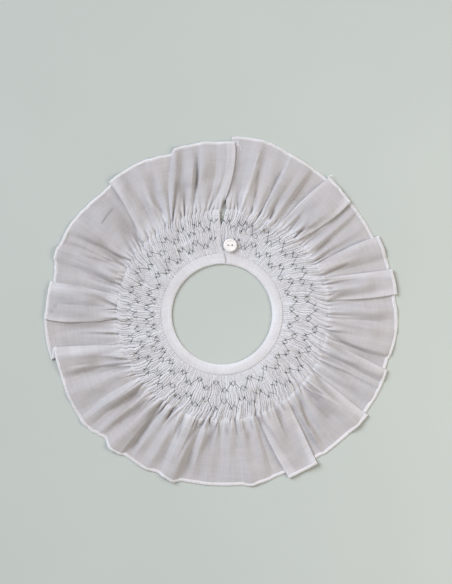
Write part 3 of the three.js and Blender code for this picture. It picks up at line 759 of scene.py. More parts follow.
# The lawn is a little limp from washing: dents about as wide as a finger, with finer ripples over them. A
# dent goes through all the layers of a fold. The dents grow from nothing at the gathering row.
LIMPNESS = table(["height", "length"], [(0.5, 34.0), (0.3, 17.0), (0.07, 6.5)])
LIMP_START = 0.25
for size in LIMPNESS:
    dents = ripples(flat_x, flat_y, size["length"])
    middle_height += size["height"] * dents * smooth(OUT / LIMP_START)

# The hem is rolled, so the cloth's edge rises to the middle of the roll.
ROLL = {"half_width": 1.5, "half_height": 0.52, "inset": 1.5, "clear": 0.05, "side": 0.4}
HEM_RISE = 9
near_hem = smooth((radius - (rim[:, None] - HEM_RISE)) / HEM_RISE)
middle_height = np.maximum(middle_height, LAWN_THICKNESS / 2)
roll_middle = ROLL["half_height"] + ROLL["clear"]
middle_height = between(middle_height, np.maximum(middle_height, roll_middle), near_hem)

along_strip = np.linspace(0, STRIP_LENGTH, len(columns))
ruffle_uv = joined(along_strip[:, None] * MM, OUT * RUFFLE_WIDTH * MM)
ruffle_points = place(np.minimum(radius, rim[:, None] - ROLL["inset"]), angle, middle_height)
drawn_up = np.exp(-beyond / ROOT_RISE["reach"])
ruffle = cloth_piece("ruffle_cloth", ruffle_points, ruffle_uv, layers_and_crease_shade, drawn_up)
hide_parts("ruffle")

# Rolled hem: the strip's long edge, rolled between the fingers towards the back and held with fine slanting
# whip stitches of white cotton, about one each millimetre, here only where they face up. Three layers of lawn
# make it whiter than the rest. It is flat underneath where it lies on the floor.
ROLL_SIDES = 10
ROLL_LAYERS = 0.8


def strip_frames(line):
    """Unit vectors along a line of points, out from the neck, and up from the cloth's right side."""
    along = np.gradient(line, axis=0)
    along /= np.linalg.norm(along, axis=1, keepdims=True)
    out = line - [NECK_X, NECK_Y, 0]
    out[:, 2] = 0
    out -= along * np.sum(out * along, axis=1, keepdims=True)
    out /= np.linalg.norm(out, axis=1, keepdims=True)
    return along, out, np.cross(out, along)


def ring_faces(index):
    """The faces between rings of points, each ring a row of their numbers."""
    after = np.roll(index, -1, axis=1)
    return np.stack([index[:-1], after[:-1], after[1:], index[1:]], axis=-1).reshape(-1, 4)


hem_line = place(rim - ROLL["inset"], angle[:, -1], middle_height[:, -1])
hem_along, hem_out, hem_up = strip_frames(hem_line)
hem_turns = np.linspace(0, 2 * np.pi, ROLL_SIDES, endpoint=False)[None, :, None]
hem_rings = (
    hem_line[:, None]
    + np.cos(hem_turns) * (ROLL["half_width"] * MM * hem_out)[:, None]
    + np.sin(hem_turns) * (ROLL["half_height"] * MM * hem_up)[:, None]
)
hem_rings[..., 2] = np.maximum(hem_rings[..., 2], 0)
hem_index = np.arange(len(hem_line) * ROLL_SIDES).reshape(-1, ROLL_SIDES)
hem_faces = [*ring_faces(hem_index), hem_index[0][::-1], hem_index[-1]]
hem_mesh = new_mesh("rolled_hem", hem_rings.reshape(-1, 3), hem_faces, LAWN)
hem_corners = np.array([loop.vertex_index for loop in hem_mesh.loops])
hem_uv = joined(along_strip[hem_corners // ROLL_SIDES] * MM, (hem_corners % ROLL_SIDES) * ROLL["side"] * MM)
hem_mesh.uv_layers.new(name="cloth").data.foreach_set("uv", hem_uv.ravel())
store(hem_mesh, "layers_and_crease_shade", [ROLL_LAYERS] * hem_index.size)
hem = add_piece("rolled_hem", hem_mesh)


# Sewing thread: soft white cotton, twisted of fine plies and a little shinier than the lawn. Its plies are
# drawn as a fine uneven grain, and shade is painted darker into the grooves between them.
THREAD_FINISH = {"Roughness": 0.6, "Sheen Weight": 0.2}
PLY = {"strength": 0.5, "depth": 0.0001}


def thread_material(name, dark, light, grain):
    """Cotton thread, with light and shade painted on its plies: lighter on them and darker between them."""
    material, tree = new_material(name)
    where = add_node(tree, "ShaderNodeTexCoord").outputs["Object"]
    plies = noise(tree, where, 1 / grain, detail=2.0)
    relief = {"Strength": PLY["strength"], "Distance": PLY["depth"], "Height": plies}
    look = {"Base Color": mixed(tree, plies, dark, light), "Normal": add_node(tree, "ShaderNodeBump", relief)}
    return finished(material, "ShaderNodeBsdfPrincipled", {**look, **THREAD_FINISH})


# Each thread is its material and its slot.
WHITE_THREAD = (thread_material("white_sewing_cotton_plied", "#DCD8D6", "#F6F3F0", 0.0004), "white_thread")


def new_tree(name, inputs):
    """A node tree that makes threads, with its inputs' identifiers and sockets."""
    tree = bpy.data.node_groups.new(name, "GeometryNodeTree")
    inputs = {"Geometry": "Geometry", **inputs, "Thread Radius": "Float", "Thread": "Material"}
    sockets = {}
    for label, kind in inputs.items():
        socket = tree.interface.new_socket(name=label, in_out="INPUT", socket_type="NodeSocket" + kind)
        sockets[label] = socket.identifier
    tree.interface.new_socket(name="Geometry", in_out="OUTPUT", socket_type="NodeSocketGeometry")
    return tree, sockets, add_node(tree, "NodeGroupInput").outputs


def named(tree, name, kind):
    """The values that the points carry under a name."""
    carried = add_node(tree, "GeometryNodeInputNamedAttribute", {"Name": name}, data_type=kind)
    return carried.outputs["Attribute"]


def round_curve(tree, given, line, sides, **more):
    """The thread round a curve."""
    circle = {"Resolution": sides, "Radius": given["Thread Radius"]}
    section = add_node(tree, "GeometryNodeCurvePrimitiveCircle", circle)
    swept = {"Curve": line, "Profile Curve": section, "Fill Caps": True, **more}
    return add_node(tree, "GeometryNodeCurveToMesh", swept)


def end_tree(tree, given, geometry):
    """The last nodes of a tree: real meshes, of the thread's material."""
    real = add_node(tree, "GeometryNodeRealizeInstances", {"Geometry": geometry})
    done = add_node(tree, "GeometryNodeSetMaterial", {"Geometry": real, "Material": given["Thread"]})
    add_node(tree, "NodeGroupOutput", {"Geometry": done})


def stitch_nodes():
    """A small arched stitch of thread on each point, turned by the point's own directions."""
    measures = ("Stitch Length", "Arch Height", "Sink", "Unevenness")
    tree, sockets, given = new_tree("stitches", {**dict.fromkeys(measures, "Float"), "Seed": "Int"})
    half = maths(tree, "MULTIPLY", given["Stitch Length"], 0.5)
    back = maths(tree, "MULTIPLY", half, -1.0)
    down = maths(tree, "MULTIPLY", given["Sink"], -1.0)
    crown = maths(tree, "MULTIPLY_ADD", given["Arch Height"], 2.0, given["Sink"])
    start, middle, end = (
        add_node(tree, "ShaderNodeCombineXYZ", inputs)
        for inputs in ({"X": back, "Z": down}, {"Z": crown}, {"X": half, "Z": down})
    )
    bend = {"Resolution": 4, "Start": start, "Middle": middle, "End": end}
    arch = add_node(tree, "GeometryNodeCurveQuadraticBezier", bend)
    stitch = round_curve(tree, given, arch, sides=5)
    ways = {0: named(tree, "up", "FLOAT_VECTOR"), 1: named(tree, "along", "FLOAT_VECTOR")}
    turn = add_node(tree, "FunctionNodeAxesToRotation", ways, primary_axis="Z", secondary_axis="X")
    less = maths(tree, "SUBTRACT", 1.0, given["Unevenness"])
    more = maths(tree, "ADD", 1.0, given["Unevenness"])
    sizes = {2: less, 3: more, "Seed": given["Seed"]}
    size = add_node(tree, "FunctionNodeRandomValue", sizes, data_type="FLOAT").outputs[1]
    row = {"Points": given["Geometry"], "Instance": stitch, "Rotation": turn, "Scale": size}
    end_tree(tree, given, add_node(tree, "GeometryNodeInstanceOnPoints", row))
    return tree, sockets


STITCHES = stitch_nodes()


def modified_mesh(maker):
    """What an object's modifiers make of its mesh, as a plain mesh. The object itself is removed."""
    evaluated = maker.evaluated_get(bpy.context.evaluated_depsgraph_get())
    mesh = bpy.data.meshes.new_from_object(evaluated)
    bpy.data.objects.remove(maker)
    mesh.polygons.foreach_set("use_smooth", [True] * len(mesh.polygons))
    return mesh


def nodes_to_mesh(name, source, nodes, values):
    """What a node tree makes of a source mesh, as a plain mesh object."""
    tree, sockets = nodes
    maker = add_object(name + "_maker", source)
    modifier = maker.modifiers.new(tree.name, "NODES")
    modifier.node_group = tree
    for label, value in values.items():
        modifier[sockets[label]] = value
    mesh = modified_mesh(maker)
    mesh.name = name
    return add_piece(name, mesh)


def stitch_row(name, points, along, up, stitch, thread=WHITE_THREAD):
    """A row of stitches, one on each point, with the stitch's own length, thread, arch and sink."""
    source = bpy.data.meshes.new(name + "_points")
    source.from_pydata(points.tolist(), [], [])
    store(source, "along", along, "FLOAT_VECTOR")
    store(source, "up", up, "FLOAT_VECTOR")
    material, slot = thread
    values = {
        "Stitch Length": stitch["length"] * MM,
        "Thread Radius": stitch["thread"] * MM,
        "Arch Height": stitch["arch"] * MM,
        "Sink": stitch["sink"] * MM,
        "Unevenness": stitch["uneven"],
        "Seed": stitch["seed"],
        "Thread": material,
    }
    return nodes_to_mesh(name, source, STITCHES, values)


def spaced(line, step, *others):
    """Places at an even step along a line, with other values carried along it."""
    length = np.concatenate([[0], np.cumsum(np.linalg.norm(np.diff(line, axis=0), axis=1))])
    at = np.arange(step / 2, length[-1], step)
    return [np.stack([np.interp(at, length, v[:, i]) for i in range(3)], axis=-1) for v in (line, *others)]


WHIP_LEVEL = 0.94

# A stitch's step along its row, its length, its thread's radius, its arch and how deep its ends sink, all in
# millimetres, then how much it slants and varies, as shares.
STITCH_MEASURES = ["step", "length", "thread", "arch", "sink", "slant", "uneven", "seed"]
WHIP = dict(zip(STITCH_MEASURES, (0.95, 3.1, 0.15, 0.64, 0.1, 0.45, 0.12, 3)))
slant = hem_out + WHIP["slant"] * hem_along
whip_points, whip_along, whip_up = spaced(hem_line, WHIP["step"] * MM, slant, hem_up)
shown = (whip_up[:, 2] > WHIP_LEVEL) & (whip_points[:, 2] > ROLL["half_height"] * MM)
hem_stitches = stitch_row("hem_whip_stitches", whip_points[shown], whip_along[shown], whip_up[shown], WHIP)

# The narrow hems along the opening are slip-stitched along their inner edges.
SLIP = dict(zip(STITCH_MEASURES, (2.2, 1.2, 0.12, 0.1, 0.05, 0.5, 0.2, 5)))
inner_edges = (np.argmin(placket) - 1, len(placket) - np.argmin(placket[::-1]))
slip_places = []
for k in inner_edges:
    edge = ruffle_points[k] + np.array([0, 0, LAWN_THICKNESS / 2 * MM])
    edge_along, edge_out, edge_up = strip_frames(edge)
    slant = edge_along + SLIP["slant"] * edge_up[:, [1, 0, 2]]
    slip_places.append(spaced(edge, SLIP["step"] * MM, slant, edge_up))
slip_points, slip_along, slip_up = (np.concatenate(parts) for parts in zip(*slip_places))
slip_stitches = stitch_row("opening_slip_stitches", slip_points, slip_along, slip_up, SLIP)

# Smocked yoke: the inner part of the strip, drawn up on gathering threads into 155 pleats between the
# neckband and the last gathering row. Each pleat is creased along its own top. Each smocking stitch pinches
# two or three pleats together, so that the cloth puffs out between the stitches.
BAND_RADIUS = 51.9
YOKE_WIDTH = 38.7
SWIRL_EASE = 1.25
PLEAT_RELAX = 0.12
PLEAT_COLUMNS = np.array([0, 0.025, 0.07, 0.17, 0.3, 0.45, 0.5, 0.55, 0.7, 0.83, 0.93, 0.975])
MIDDLE_COLUMN = 6
CREASE_SHIFT = 0.16
YOKE_ROWS = 25
YOKE_INNER = 50.4
YOKE_LAYERS = (0.88, 0.62)
YOKE_FADE = 1.5
SEAM_GAP = 0.05

# From the neckband to the gathering row: the height of the pleats, and how deep the grooves between them and
# the creases along them are.
PLEAT_LINES = table(
    ["radius", "ridge", "groove", "crease", "width"],
    [
        (50.4, 1.3, 0.5, 0.2, 0.03),
        (52.2, 2.05, 1.0, 0.5, 0.03),
        (56, 2.5, 1.7, 0.9, 0.035),
        (62, 2.8, 2.2, 1.3, 0.04),
        (75, 2.95, 2.5, 1.5, 0.05),
        (85, 2.85, 2.2, 1.2, 0.06),
        (90.6, 2.5, 1.2, 0.4, 0.09),
    ],
)

# How far the pleats lean over between the neckband and the gathering row, in degrees round the neck.
LEAN = table(
    ["angle", "lean"],
    [
        (90, 9.5),
        (138, 9.0),
        (158, 4.0),
        (200, 3.0),
        (250, 4.5),
        (330, 4.0),
        (355, 7.5),
        (380, 9.5),
        (448, 9.5),
    ],
)
CREASE_WIDTH = 0.04
SLIT_SHARPNESS = 1.5
GROOVE_CHANGE = (0.05, 1.35)
CREASE_CHANGE = (0.0, 1.5)
CHANGE_SPAN = 0.9
PLEAT_CELLS = 12
FREE_FROM = 4
WANDER = {"size": 0.9, "span": 2.3}
PUFF = {"size": 0.65, "span": 5, "cells": 5}
TOP_CHANGE = {"size": 0.25, "rate": 1.7}
PINCH = {"along": 2.4, "across": 3.0, "draw": 0.25, "sink": 0.45}

# Along the opening the strip's left edge has a plain narrow hem, a little whiter, which lies over the right
# edge. Widths are in pleats.
OPENING_HEM = {
    "plain": 1.4, "soft": 0.8, "whiter": 0.1, "edge": 0.14, "drop": 0.8, "under": 0.5, "reach": 1.6
}
HEM_PUCKER = 0.22

# The two waves of smocking: the angles of their outer points, with the radii of their outer and inner points.
WAVES = [
    {
        "outer": 80.4,
        "inner": 73.6,
        "peaks": [
            4, 16.5, 28, 39, 50.6, 62.1, 72.8, 77.9, 87.2, 95, 105.5, 116.2, 128.3, 140.2, 152.5, 164.8,
            175.5, 184.8, 194.8, 206, 217, 229, 241.5, 253, 265.3, 277.5, 289, 301.3, 313.5, 325.5,
            338, 350.7,
        ],
    },
    {
        "outer": 65.0,
        "inner": 59.2,
        "peaks": [
            11.5, 25.7, 38.5, 52, 65.5, 79, 96.7, 110.5, 122.5, 135.3, 148.8, 163.5, 174.7, 185.5, 195, 206.6,
            216.7, 229.3, 244, 258, 272, 286, 301, 316.3, 329.5, 343.3, 357,
        ],
    },
]
OPENING_ANGLE = 90.0
HAND_WANDER = {"size": 0.6, "rate": 7.3}


def wave_turns(wave):
    """Every outer and inner point of a wave, from one side of the opening round to the other."""
    peaks = sorted((peak - OPENING_ANGLE) % 360 + OPENING_ANGLE for peak in wave["peaks"])
    turns = [(peaks[0], wave["outer"])]
    for a, b in zip(peaks, peaks[1:]):
        turns += [((a + b) / 2, wave["inner"]), (b, wave["outer"])]
    size, rate = HAND_WANDER["size"], HAND_WANDER["rate"]
    return [(turn, radius + size * math.sin(turn * rate)) for turn, radius in turns]


def pinch(at_angle, at_radius):
    """How hard the nearest stitches hold the cloth at a place, and how far they draw it towards them."""
    hold = np.zeros(at_angle.shape)
    draw = np.zeros(at_angle.shape)
    for wave in WAVES:
        for stitch_angle, stitch_radius in wave_turns(wave):
            off = at_angle - stitch_angle
            off_ring = at_radius - stitch_radius
            near = np.exp(-((off / PINCH["along"]) ** 2) - (off_ring / PINCH["across"]) ** 2)
            hold += near
            draw -= PINCH["draw"] * off * near
    return np.minimum(hold, 1), draw


def yoke_angle(share, at_radius):
    """Where a share of the strip lies on a ring of the yoke: its pleats lean a little on their way out."""
    out = (at_radius - BAND_RADIUS) / (GATHER_RADIUS - BAND_RADIUS)
    beside = smooth(np.minimum(share, 1 - share) / PLEAT_RELAX)
    straight = between(*opening_edges(at_radius, SEAM_GAP), share)
    return straight + read_off(LEAN, "angle", straight, "lean") * (1 - out) ** SWIRL_EASE * beside


def pleat_line(name):
    """One of the yoke's measures, at every row from the neckband out."""
    return read_off(PLEAT_LINES, "radius", yoke_radius, name)


def uneven(least, most, places):
    """A factor for each pleat that changes along it as well."""
    share = chances(np.arange(PLEATS + 2) / CHANGE_SPAN, outward[0] * PLEAT_CELLS)[places]
    return between(least, most, share)


yoke_radius = np.linspace(YOKE_INNER, GATHER_RADIUS, YOKE_ROWS)[None, :]
outward = (yoke_radius - YOKE_INNER) / (GATHER_RADIUS - YOKE_INNER)
yoke_pleat = np.append((np.arange(PLEATS)[:, None] + PLEAT_COLUMNS).ravel(), PLEATS)
phase = yoke_pleat % 1
own_pleat = np.minimum(yoke_pleat.astype(int), PLEATS - 1)
crease_shift = rng.uniform(-CREASE_SHIFT, CREASE_SHIFT, PLEATS)[own_pleat] * np.sin(np.pi * phase) ** 2
raw_angle = yoke_angle(pleat_share(yoke_pleat + crease_shift)[:, None], yoke_radius)
free = smooth(np.minimum(yoke_pleat, PLEATS - yoke_pleat) / FREE_FROM)[:, None]
hold, draw = pinch(raw_angle, yoke_radius)
wander = WANDER["size"] * smooth_noise(yoke_pleat / WANDER["span"], outward[0] * PLEAT_CELLS)
full_angle = raw_angle + (draw + wander * np.sin(np.pi * outward)) * free

to_groove = np.minimum(phase, 1 - phase)[:, None]
to_crease = np.abs(phase - 0.5)[:, None]
groove = pleat_line("groove") * uneven(*GROOVE_CHANGE, np.rint(yoke_pleat).astype(int))
groove = groove * bell(to_groove / pleat_line("width"), SLIT_SHARPNESS)
crease = pleat_line("crease") * uneven(*CREASE_CHANGE, own_pleat)
crease = crease * bell(to_crease / CREASE_WIDTH, SLIT_SHARPNESS)
from_left = yoke_pleat[:, None]
from_right = PLEATS - from_left
pleated = between(HEM_PUCKER, 1, smooth((from_left - OPENING_HEM["plain"]) / OPENING_HEM["soft"]))
edge_drop = OPENING_HEM["drop"] * bell(from_left / OPENING_HEM["edge"])
edge_drop = edge_drop + OPENING_HEM["under"] * smooth(1 - from_right / OPENING_HEM["reach"])
top_change = TOP_CHANGE["size"] * smooth_noise(yoke_pleat * TOP_CHANGE["rate"], outward[0] * PLEAT_CELLS)
puff = PUFF["size"] * smooth_noise(yoke_pleat / PUFF["span"], outward[0] * PUFF["cells"])

# The folds of the ruffle begin in the yoke, and its outer edge meets the ruffle's gathers. The button is sewn
# on tightly and presses the pleats down under it.
BUTTON = {"from_neck": 59.5, "angle": 83.2, "base": 3.1}
BUTTON_PRESS = {"depth": 0.55, "reach": 6.5}
FOLD_BLEND = 20.0
ROOT_BLEND = 3.0
shown = ~covered[:, 0]
order = np.argsort(angle[shown, 0])
edge_fold, edge_gather = (
    np.interp(full_angle[:, -1], angle[shown, 0][order], values[shown, 0][order])[:, None]
    for values in (top_height, gather)
)
fold_share = smooth((yoke_radius - (GATHER_RADIUS - FOLD_BLEND)) / FOLD_BLEND)
yoke_height = pleat_line("ridge") + (top_change + puff) * np.sin(np.pi * outward) - PINCH["sink"] * hold
yoke_height = yoke_height + (edge_fold - edge_fold.mean()) * fold_share
button_x, button_y = place(BUTTON["from_neck"], BUTTON["angle"], 0)[:2]
yoke_x, yoke_y, _ = np.moveaxis(place(yoke_radius, full_angle, 0), -1, 0)
from_button = np.hypot(yoke_x - button_x, yoke_y - button_y) / MM
yoke_height = yoke_height - BUTTON_PRESS["depth"] * bell(from_button / BUTTON_PRESS["reach"], power=4)
yoke_height = np.maximum(yoke_height - (groove + crease) * pleated - edge_drop, LAWN_THICKNESS / 2)
blend = smooth((yoke_radius - (GATHER_RADIUS - ROOT_BLEND)) / ROOT_BLEND)
yoke_height = between(yoke_height, edge_fold + edge_gather, blend)
yoke_height = np.maximum(yoke_height, LAWN_THICKNESS / 2)
yoke_uv = joined((yoke_pleat / PLEATS * STRIP_LENGTH * MM)[:, None], -outward * YOKE_WIDTH * MM)
yoke_points = place(yoke_radius, full_angle, yoke_height)
yoke_layers = between(*YOKE_LAYERS, outward**YOKE_FADE) + OPENING_HEM["whiter"] * (1 - pleated)
yoke = cloth_piece("smocked_yoke_cloth", yoke_points, yoke_uv, yoke_layers, 1)
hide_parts("smocked_yoke")

# Last gathering row: a small white stitch over the top of most pleats, where the ruffle starts.
STITCHED_SHARE = 0.7
GATHER_STITCH = dict(zip(STITCH_MEASURES[1:], (1.3, 0.12, 0.3, 0.3, 0.25, 0.3, 7)))
pleat_tops = np.flatnonzero(rng.random(PLEATS) < STITCHED_SHARE) * len(PLEAT_COLUMNS) + MIDDLE_COLUMN
row_points = yoke_points[pleat_tops, -2 + rng.integers(0, 2, len(pleat_tops))]
row_along, row_out, row_up = strip_frames(row_points)
row_along[:, 2] = 0
row_up[:] = (0, 0, 1)
row_slant = row_along + GATHER_STITCH["slant"] * row_out
gather_stitches = stitch_row("gathering_stitches", row_points, row_slant, row_up, GATHER_STITCH)

# Smocking embroidery: stranded cotton in a dark grey green, worked in two waves over the pleats. Long
# straight stitches run between the outer and inner points, and at each point they cross two short ones that
# make a small lozenge between them. Each cross is drawn tight into a small dark knot.
GREY_COTTON = (thread_material("grey_green_stranded_cotton", "#4B514E", "#757C77", 0.0006), "grey_thread")
THREAD = {"radius": 0.2, "lift": 0.17, "least": 0.75, "more": 0.35}
TAUT = {"reach": 3, "sag": 0.45}
KNOT = dict(zip(STITCH_MEASURES[1:], (1.6, 0.18, 0.3, 0.15, 1.0, 0.25, 11)))
CROSS = 1.7
LOZENGE = 2.6
LONG_END = 2.7
SHORT_END = 2.1
STITCH_STEP = 0.4
LEAST_POINTS = 6
SOFT = np.ones(5) / 5
CAST_FROM = 0.02
BARE_HEIGHT = 0.5


def thread_nodes():
    """A thread along each line of the source mesh, its thickness from the line's own attribute."""
    tree, sockets, given = new_tree("threads", {})
    line = add_node(tree, "GeometryNodeMeshToCurve", {0: given["Geometry"]})
    end_tree(tree, given, round_curve(tree, given, line, sides=6, Scale=named(tree, "thick", "FLOAT")))
    return tree, sockets


THREADS = thread_nodes()


def threads(name, lines, thread_radius, thread):
    """Threads along lines of points, each a little uneven in thickness."""
    source = bpy.data.meshes.new(name + "_lines")
    lengths = [len(line) for line in lines]
    starts = np.cumsum([0] + lengths[:-1])
    edges = [(start + i, start + i + 1) for start, length in zip(starts, lengths) for i in range(length - 1)]
    source.from_pydata([list(point) for line in lines for point in line], edges, [])
    store(source, "thick", THREAD["least"] + THREAD["more"] * rng.random(sum(lengths)))
    material, slot = thread
    values = {"Thread Radius": thread_radius * MM, "Thread": material}
    return nodes_to_mesh(name, source, THREADS, values)


def surface_of(points):
    """A grid of points as a surface that a thread can be laid on."""
    return BVHTree.FromPolygons(points.reshape(-1, 3).tolist(), grid_faces(points).tolist())


def height_on(surface, at_radius, at_angle):
    """The height of a surface under a place, in millimetres, or a low one where there is no cloth."""
    x, y, _ = place(at_radius, at_angle, 0)
    hit = surface.ray_cast((x, y, CAST_FROM), (0, 0, -1))[0]
    return hit.z / MM if hit else BARE_HEIGHT


yoke_surface = surface_of(yoke_points)


def softened(values, weights):
    """Values along a line, each a mean of its neighbours by their weights."""
    return np.convolve(np.pad(values, len(weights) // 2, mode="edge"), weights, mode="valid")


def laid_thread(path):
    """A thread drawn tight over the pleats along a path of radii and angles."""
    heights = np.array([height_on(yoke_surface, r, a) for r, a in path])
    padded = np.pad(heights, TAUT["reach"], mode="edge")
    taut = np.array([padded[i : i + 2 * TAUT["reach"] + 1].max() for i in range(len(heights))])
    taut = np.maximum(heights, taut - TAUT["sag"])
    return [place(r, a, h + THREAD["lift"]) for (r, a), h in zip(path, softened(taut, SOFT))]


def straight_stitch(start, end, before, after):
    """A stitch through two places, each a radius and an angle, and on past them by some millimetres."""
    length = math.hypot(end[0] - start[0], math.radians(end[1] - start[1]) * (start[0] + end[0]) / 2)
    count = max(LEAST_POINTS, math.ceil((length + before + after) / STITCH_STEP))
    shares = np.linspace(-before / length, 1 + after / length, count)
    return laid_thread([tuple(between(a, b, share) for a, b in zip(start, end)) for share in shares])


embroidery = []
knots = []
for wave in WAVES:
    turns = wave_turns(wave)
    for (a0, r0), (a1, r1) in zip(turns, turns[1:]):
        embroidery.append(straight_stitch((r0, a0 + CROSS), (r1, a1 - CROSS), LONG_END, LONG_END))
    for at_angle, at_radius in turns:
        side = 1 if at_radius > (wave["outer"] + wave["inner"]) / 2 else -1
        for hand in (-CROSS, CROSS):
            point = (at_radius - side * LOZENGE, at_angle)
            embroidery.append(straight_stitch(point, (at_radius, at_angle + hand), 0, SHORT_END))
            knots.append((at_radius, at_angle + hand))
smocking = threads("smocking_embroidery", embroidery, THREAD["radius"], GREY_COTTON)

knot_points = np.array([place(r, a, height_on(yoke_surface, r, a) + THREAD["lift"]) for r, a in knots])
knot_along, knot_out, knot_up = strip_frames(knot_points)
knot_up[:] = (0, 0, 1)
crossed = [knot_along + KNOT["slant"] * knot_out, knot_along - KNOT["slant"] * knot_out]
cross_stitches = stitch_row(
    "smocking_crosses",
    np.concatenate([knot_points, knot_points]),
    np.concatenate(crossed),
    np.concatenate([knot_up, knot_up]),
    KNOT,
    GREY_COTTON,
)

# Loose ends of the white sewing thread: one hangs over from the corner of the upper flap, one stands out from
# the hem, and one lies in the opening. A single strand of the grey cotton lies on the ruffle.
LOOSE_THREAD = {"radius": 0.25, "strand": 0.1, "lift": 0.25, "points": 24}
LOOSE_ENDS = [
    {"least": 0.0, "places": [(146.3, 85.6), (145.8, 84.2), (143.8, 83.6), (141.4, 83.3)]},
    {"least": 2.6, "places": [(147.6, 52.3), (149.4, 52.2), (151.0, 51.9), (152.3, 51.4)]},
    {"least": 2.3, "places": [(84.8, 88.2), (85.0, 88.7), (85.2, 89.3), (85.0, 89.9)]},
]
LOOSE_STRAND = {"least": 0.0, "places": [(130.5, 135.7), (130.3, 138.2), (129.5, 140.8), (129.2, 143.1)]}
collar_surfaces = (yoke_surface, surface_of(ruffle_points))


def loose_line(end):
    """A loose thread's middle line, softly bent, lying on the cloth or no lower than its own least height."""
    at = np.linspace(0, len(end["places"]) - 1, LOOSE_THREAD["points"])
    line = []
    for r, a in zip(*(softened(np.interp(at, range(len(run)), run), SOFT) for run in zip(*end["places"]))):
        height = max(end["least"], *(height_on(surface, r, a) for surface in collar_surfaces))
        line.append(place(r, a, height + LOOSE_THREAD["lift"]))
    return line


threads("loose_ends", [loose_line(end) for end in LOOSE_ENDS], LOOSE_THREAD["radius"], WHITE_THREAD)
threads("loose_strand", [loose_line(LOOSE_STRAND)], LOOSE_THREAD["strand"], GREY_COTTON)

# Neckband: a narrow bias strip of the same lawn, folded over the raw ends of the pleats and felled down along
# its outer edge. It is smooth and whiter, with a few shallow puckers, and its two ends meet at the opening.
NECK_RADIUS = 42.9
BAND_COLUMNS = 300
BAND_LENGTH = 298.0
BAND_CUT = 22.0
BAND_LAYERS = (0.98, 0.62)
BAND_END = {"step": 0.3, "columns": 7, "drop": 0.5, "within": 0.6, "under": 0.16, "reach": 5.0}
BAND_GAP = 0.12
BAND_POINTS = 42
BAND_CORNERS = (0.25, 0.5, 0.25)
BAND_PUCKER = {"size": 0.16, "along": 60, "across": 1.5}
BAND_TOP = {"from": 1.2, "over": 0.8}
BAND_SECTION = table(
    ["across", "height"],
    [
        (0.99, 0.35),
        (0.75, 0.2),
        (0.3, 0.18),
        (0.05, 0.3),
        (0.01, 0.8),
        (0.03, 1.5),
        (0.13, 2.05),
        (0.35, 2.35),
        (0.65, 2.5),
        (0.88, 2.5),
        (0.985, 2.33),
        (1.0, 2.1),
        (0.96, 1.95),
        (0.85, 1.9),
    ],
)
knots_at = np.linspace(0, 1, len(BAND_SECTION))
section_at = np.linspace(0, 1, BAND_POINTS)


def rounded(name):
    """One measure along the section, with its corners rounded."""
    fine = np.interp(section_at, knots_at, [row[name] for row in BAND_SECTION])
    soft = softened(fine, BAND_CORNERS)
    soft[[0, -1]] = fine[[0, -1]]
    return soft


band_across = rounded("across")
band_height = rounded("height")
end_steps = BAND_END["step"] / BAND_LENGTH * np.arange(1, BAND_END["columns"])
band_share = np.unique(np.concatenate([np.linspace(0, 1, BAND_COLUMNS), end_steps, 1 - end_steps]))[:, None]
band_radius = between(NECK_RADIUS, BAND_RADIUS, band_across[None, :])
band_start, band_end = opening_edges(band_radius, BAND_GAP)
band_angle = between(band_start, band_end, band_share)
pucker = smooth_noise(BAND_PUCKER["along"] * band_share[:, 0], band_across * BAND_PUCKER["across"])
to_end = np.minimum(band_share, 1 - band_share) * BAND_LENGTH
end_fold = 1 - BAND_END["drop"] * bell(to_end / BAND_END["within"])
end_fold = end_fold - BAND_END["under"] * smooth(1 - (1 - band_share) * BAND_LENGTH / BAND_END["reach"])
on_top = smooth((band_height - BAND_TOP["from"]) / BAND_TOP["over"])
band_z = (band_height + BAND_PUCKER["size"] * pucker * on_top) * (1 + (end_fold - 1) * on_top)
band = cloth_piece(
    "neckband_cloth",
    place(band_radius, band_angle, band_z),
    joined(band_share * BAND_LENGTH * MM, section_at * BAND_CUT * MM),
    between(*BAND_LAYERS, band_across),
    0,
)
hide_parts("neckband")

FELLING = dict(zip(STITCH_MEASURES, (2.1, 1.1, 0.1, 0.08, 0.3, 0.4, 0.15, 13)))
SEAM = {"radius": 51.7, "height": 2.6, "points": 900, "clear": 1}
seam_angle = np.linspace(band_start[0, 0] + SEAM["clear"], band_end[0, 0] - SEAM["clear"], SEAM["points"])
seam_line = place(SEAM["radius"], seam_angle, SEAM["height"])
seam_along, seam_out, seam_up = strip_frames(seam_line)
seam_slant = seam_out + FELLING["slant"] * seam_along
fells = spaced(seam_line, FELLING["step"] * MM, seam_slant, seam_up)
felling = stitch_row("neckband_felling", *fells, FELLING)

# Button: mother-of-pearl, turned with a rounded rim and a dished middle, and drilled with two holes. White
# thread between the holes holds it above the pleats to the right of the opening.
HOLE = {"radius": 0.72, "apart": 3.4, "low": -0.5, "high": 3.0}
HOLE_SIDES = 24
BUTTON_SECTION = table(
    ["radius", "height"],
    [
        (0, 0),
        (3.4, 0),
        (4.6, 0.25),
        (5.3, 0.7),
        (5.62, 1.1),
        (5.7, 1.45),
        (5.6, 1.78),
        (5.3, 1.98),
        (4.9, 2.06),
        (4.5, 2.05),
        (4.15, 1.99),
        (3.8, 1.91),
        (3.4, 1.86),
        (2.8, 1.83),
        (1.6, 1.81),
        (0, 1.8),
    ],
)
BUTTON_SIDES = 72
SHARP_ANGLE = 40
BUTTON_THREAD = {"radius": 0.13, "asides": (-0.13, 0.13)}
BUTTON_STRAND = table(
    ["share", "rise"], [(0, -1.6), (0, -0.2), (0.12, 0.1), (0.5, 0.25), (0.88, 0.1), (1, -0.2), (1, -1.6)]
)
SHANK = {"radius": 0.75, "turns": 4, "points": 72, "below": -0.9, "above": 0.1}
SHELL_GROWTH = (90, 420, 200)
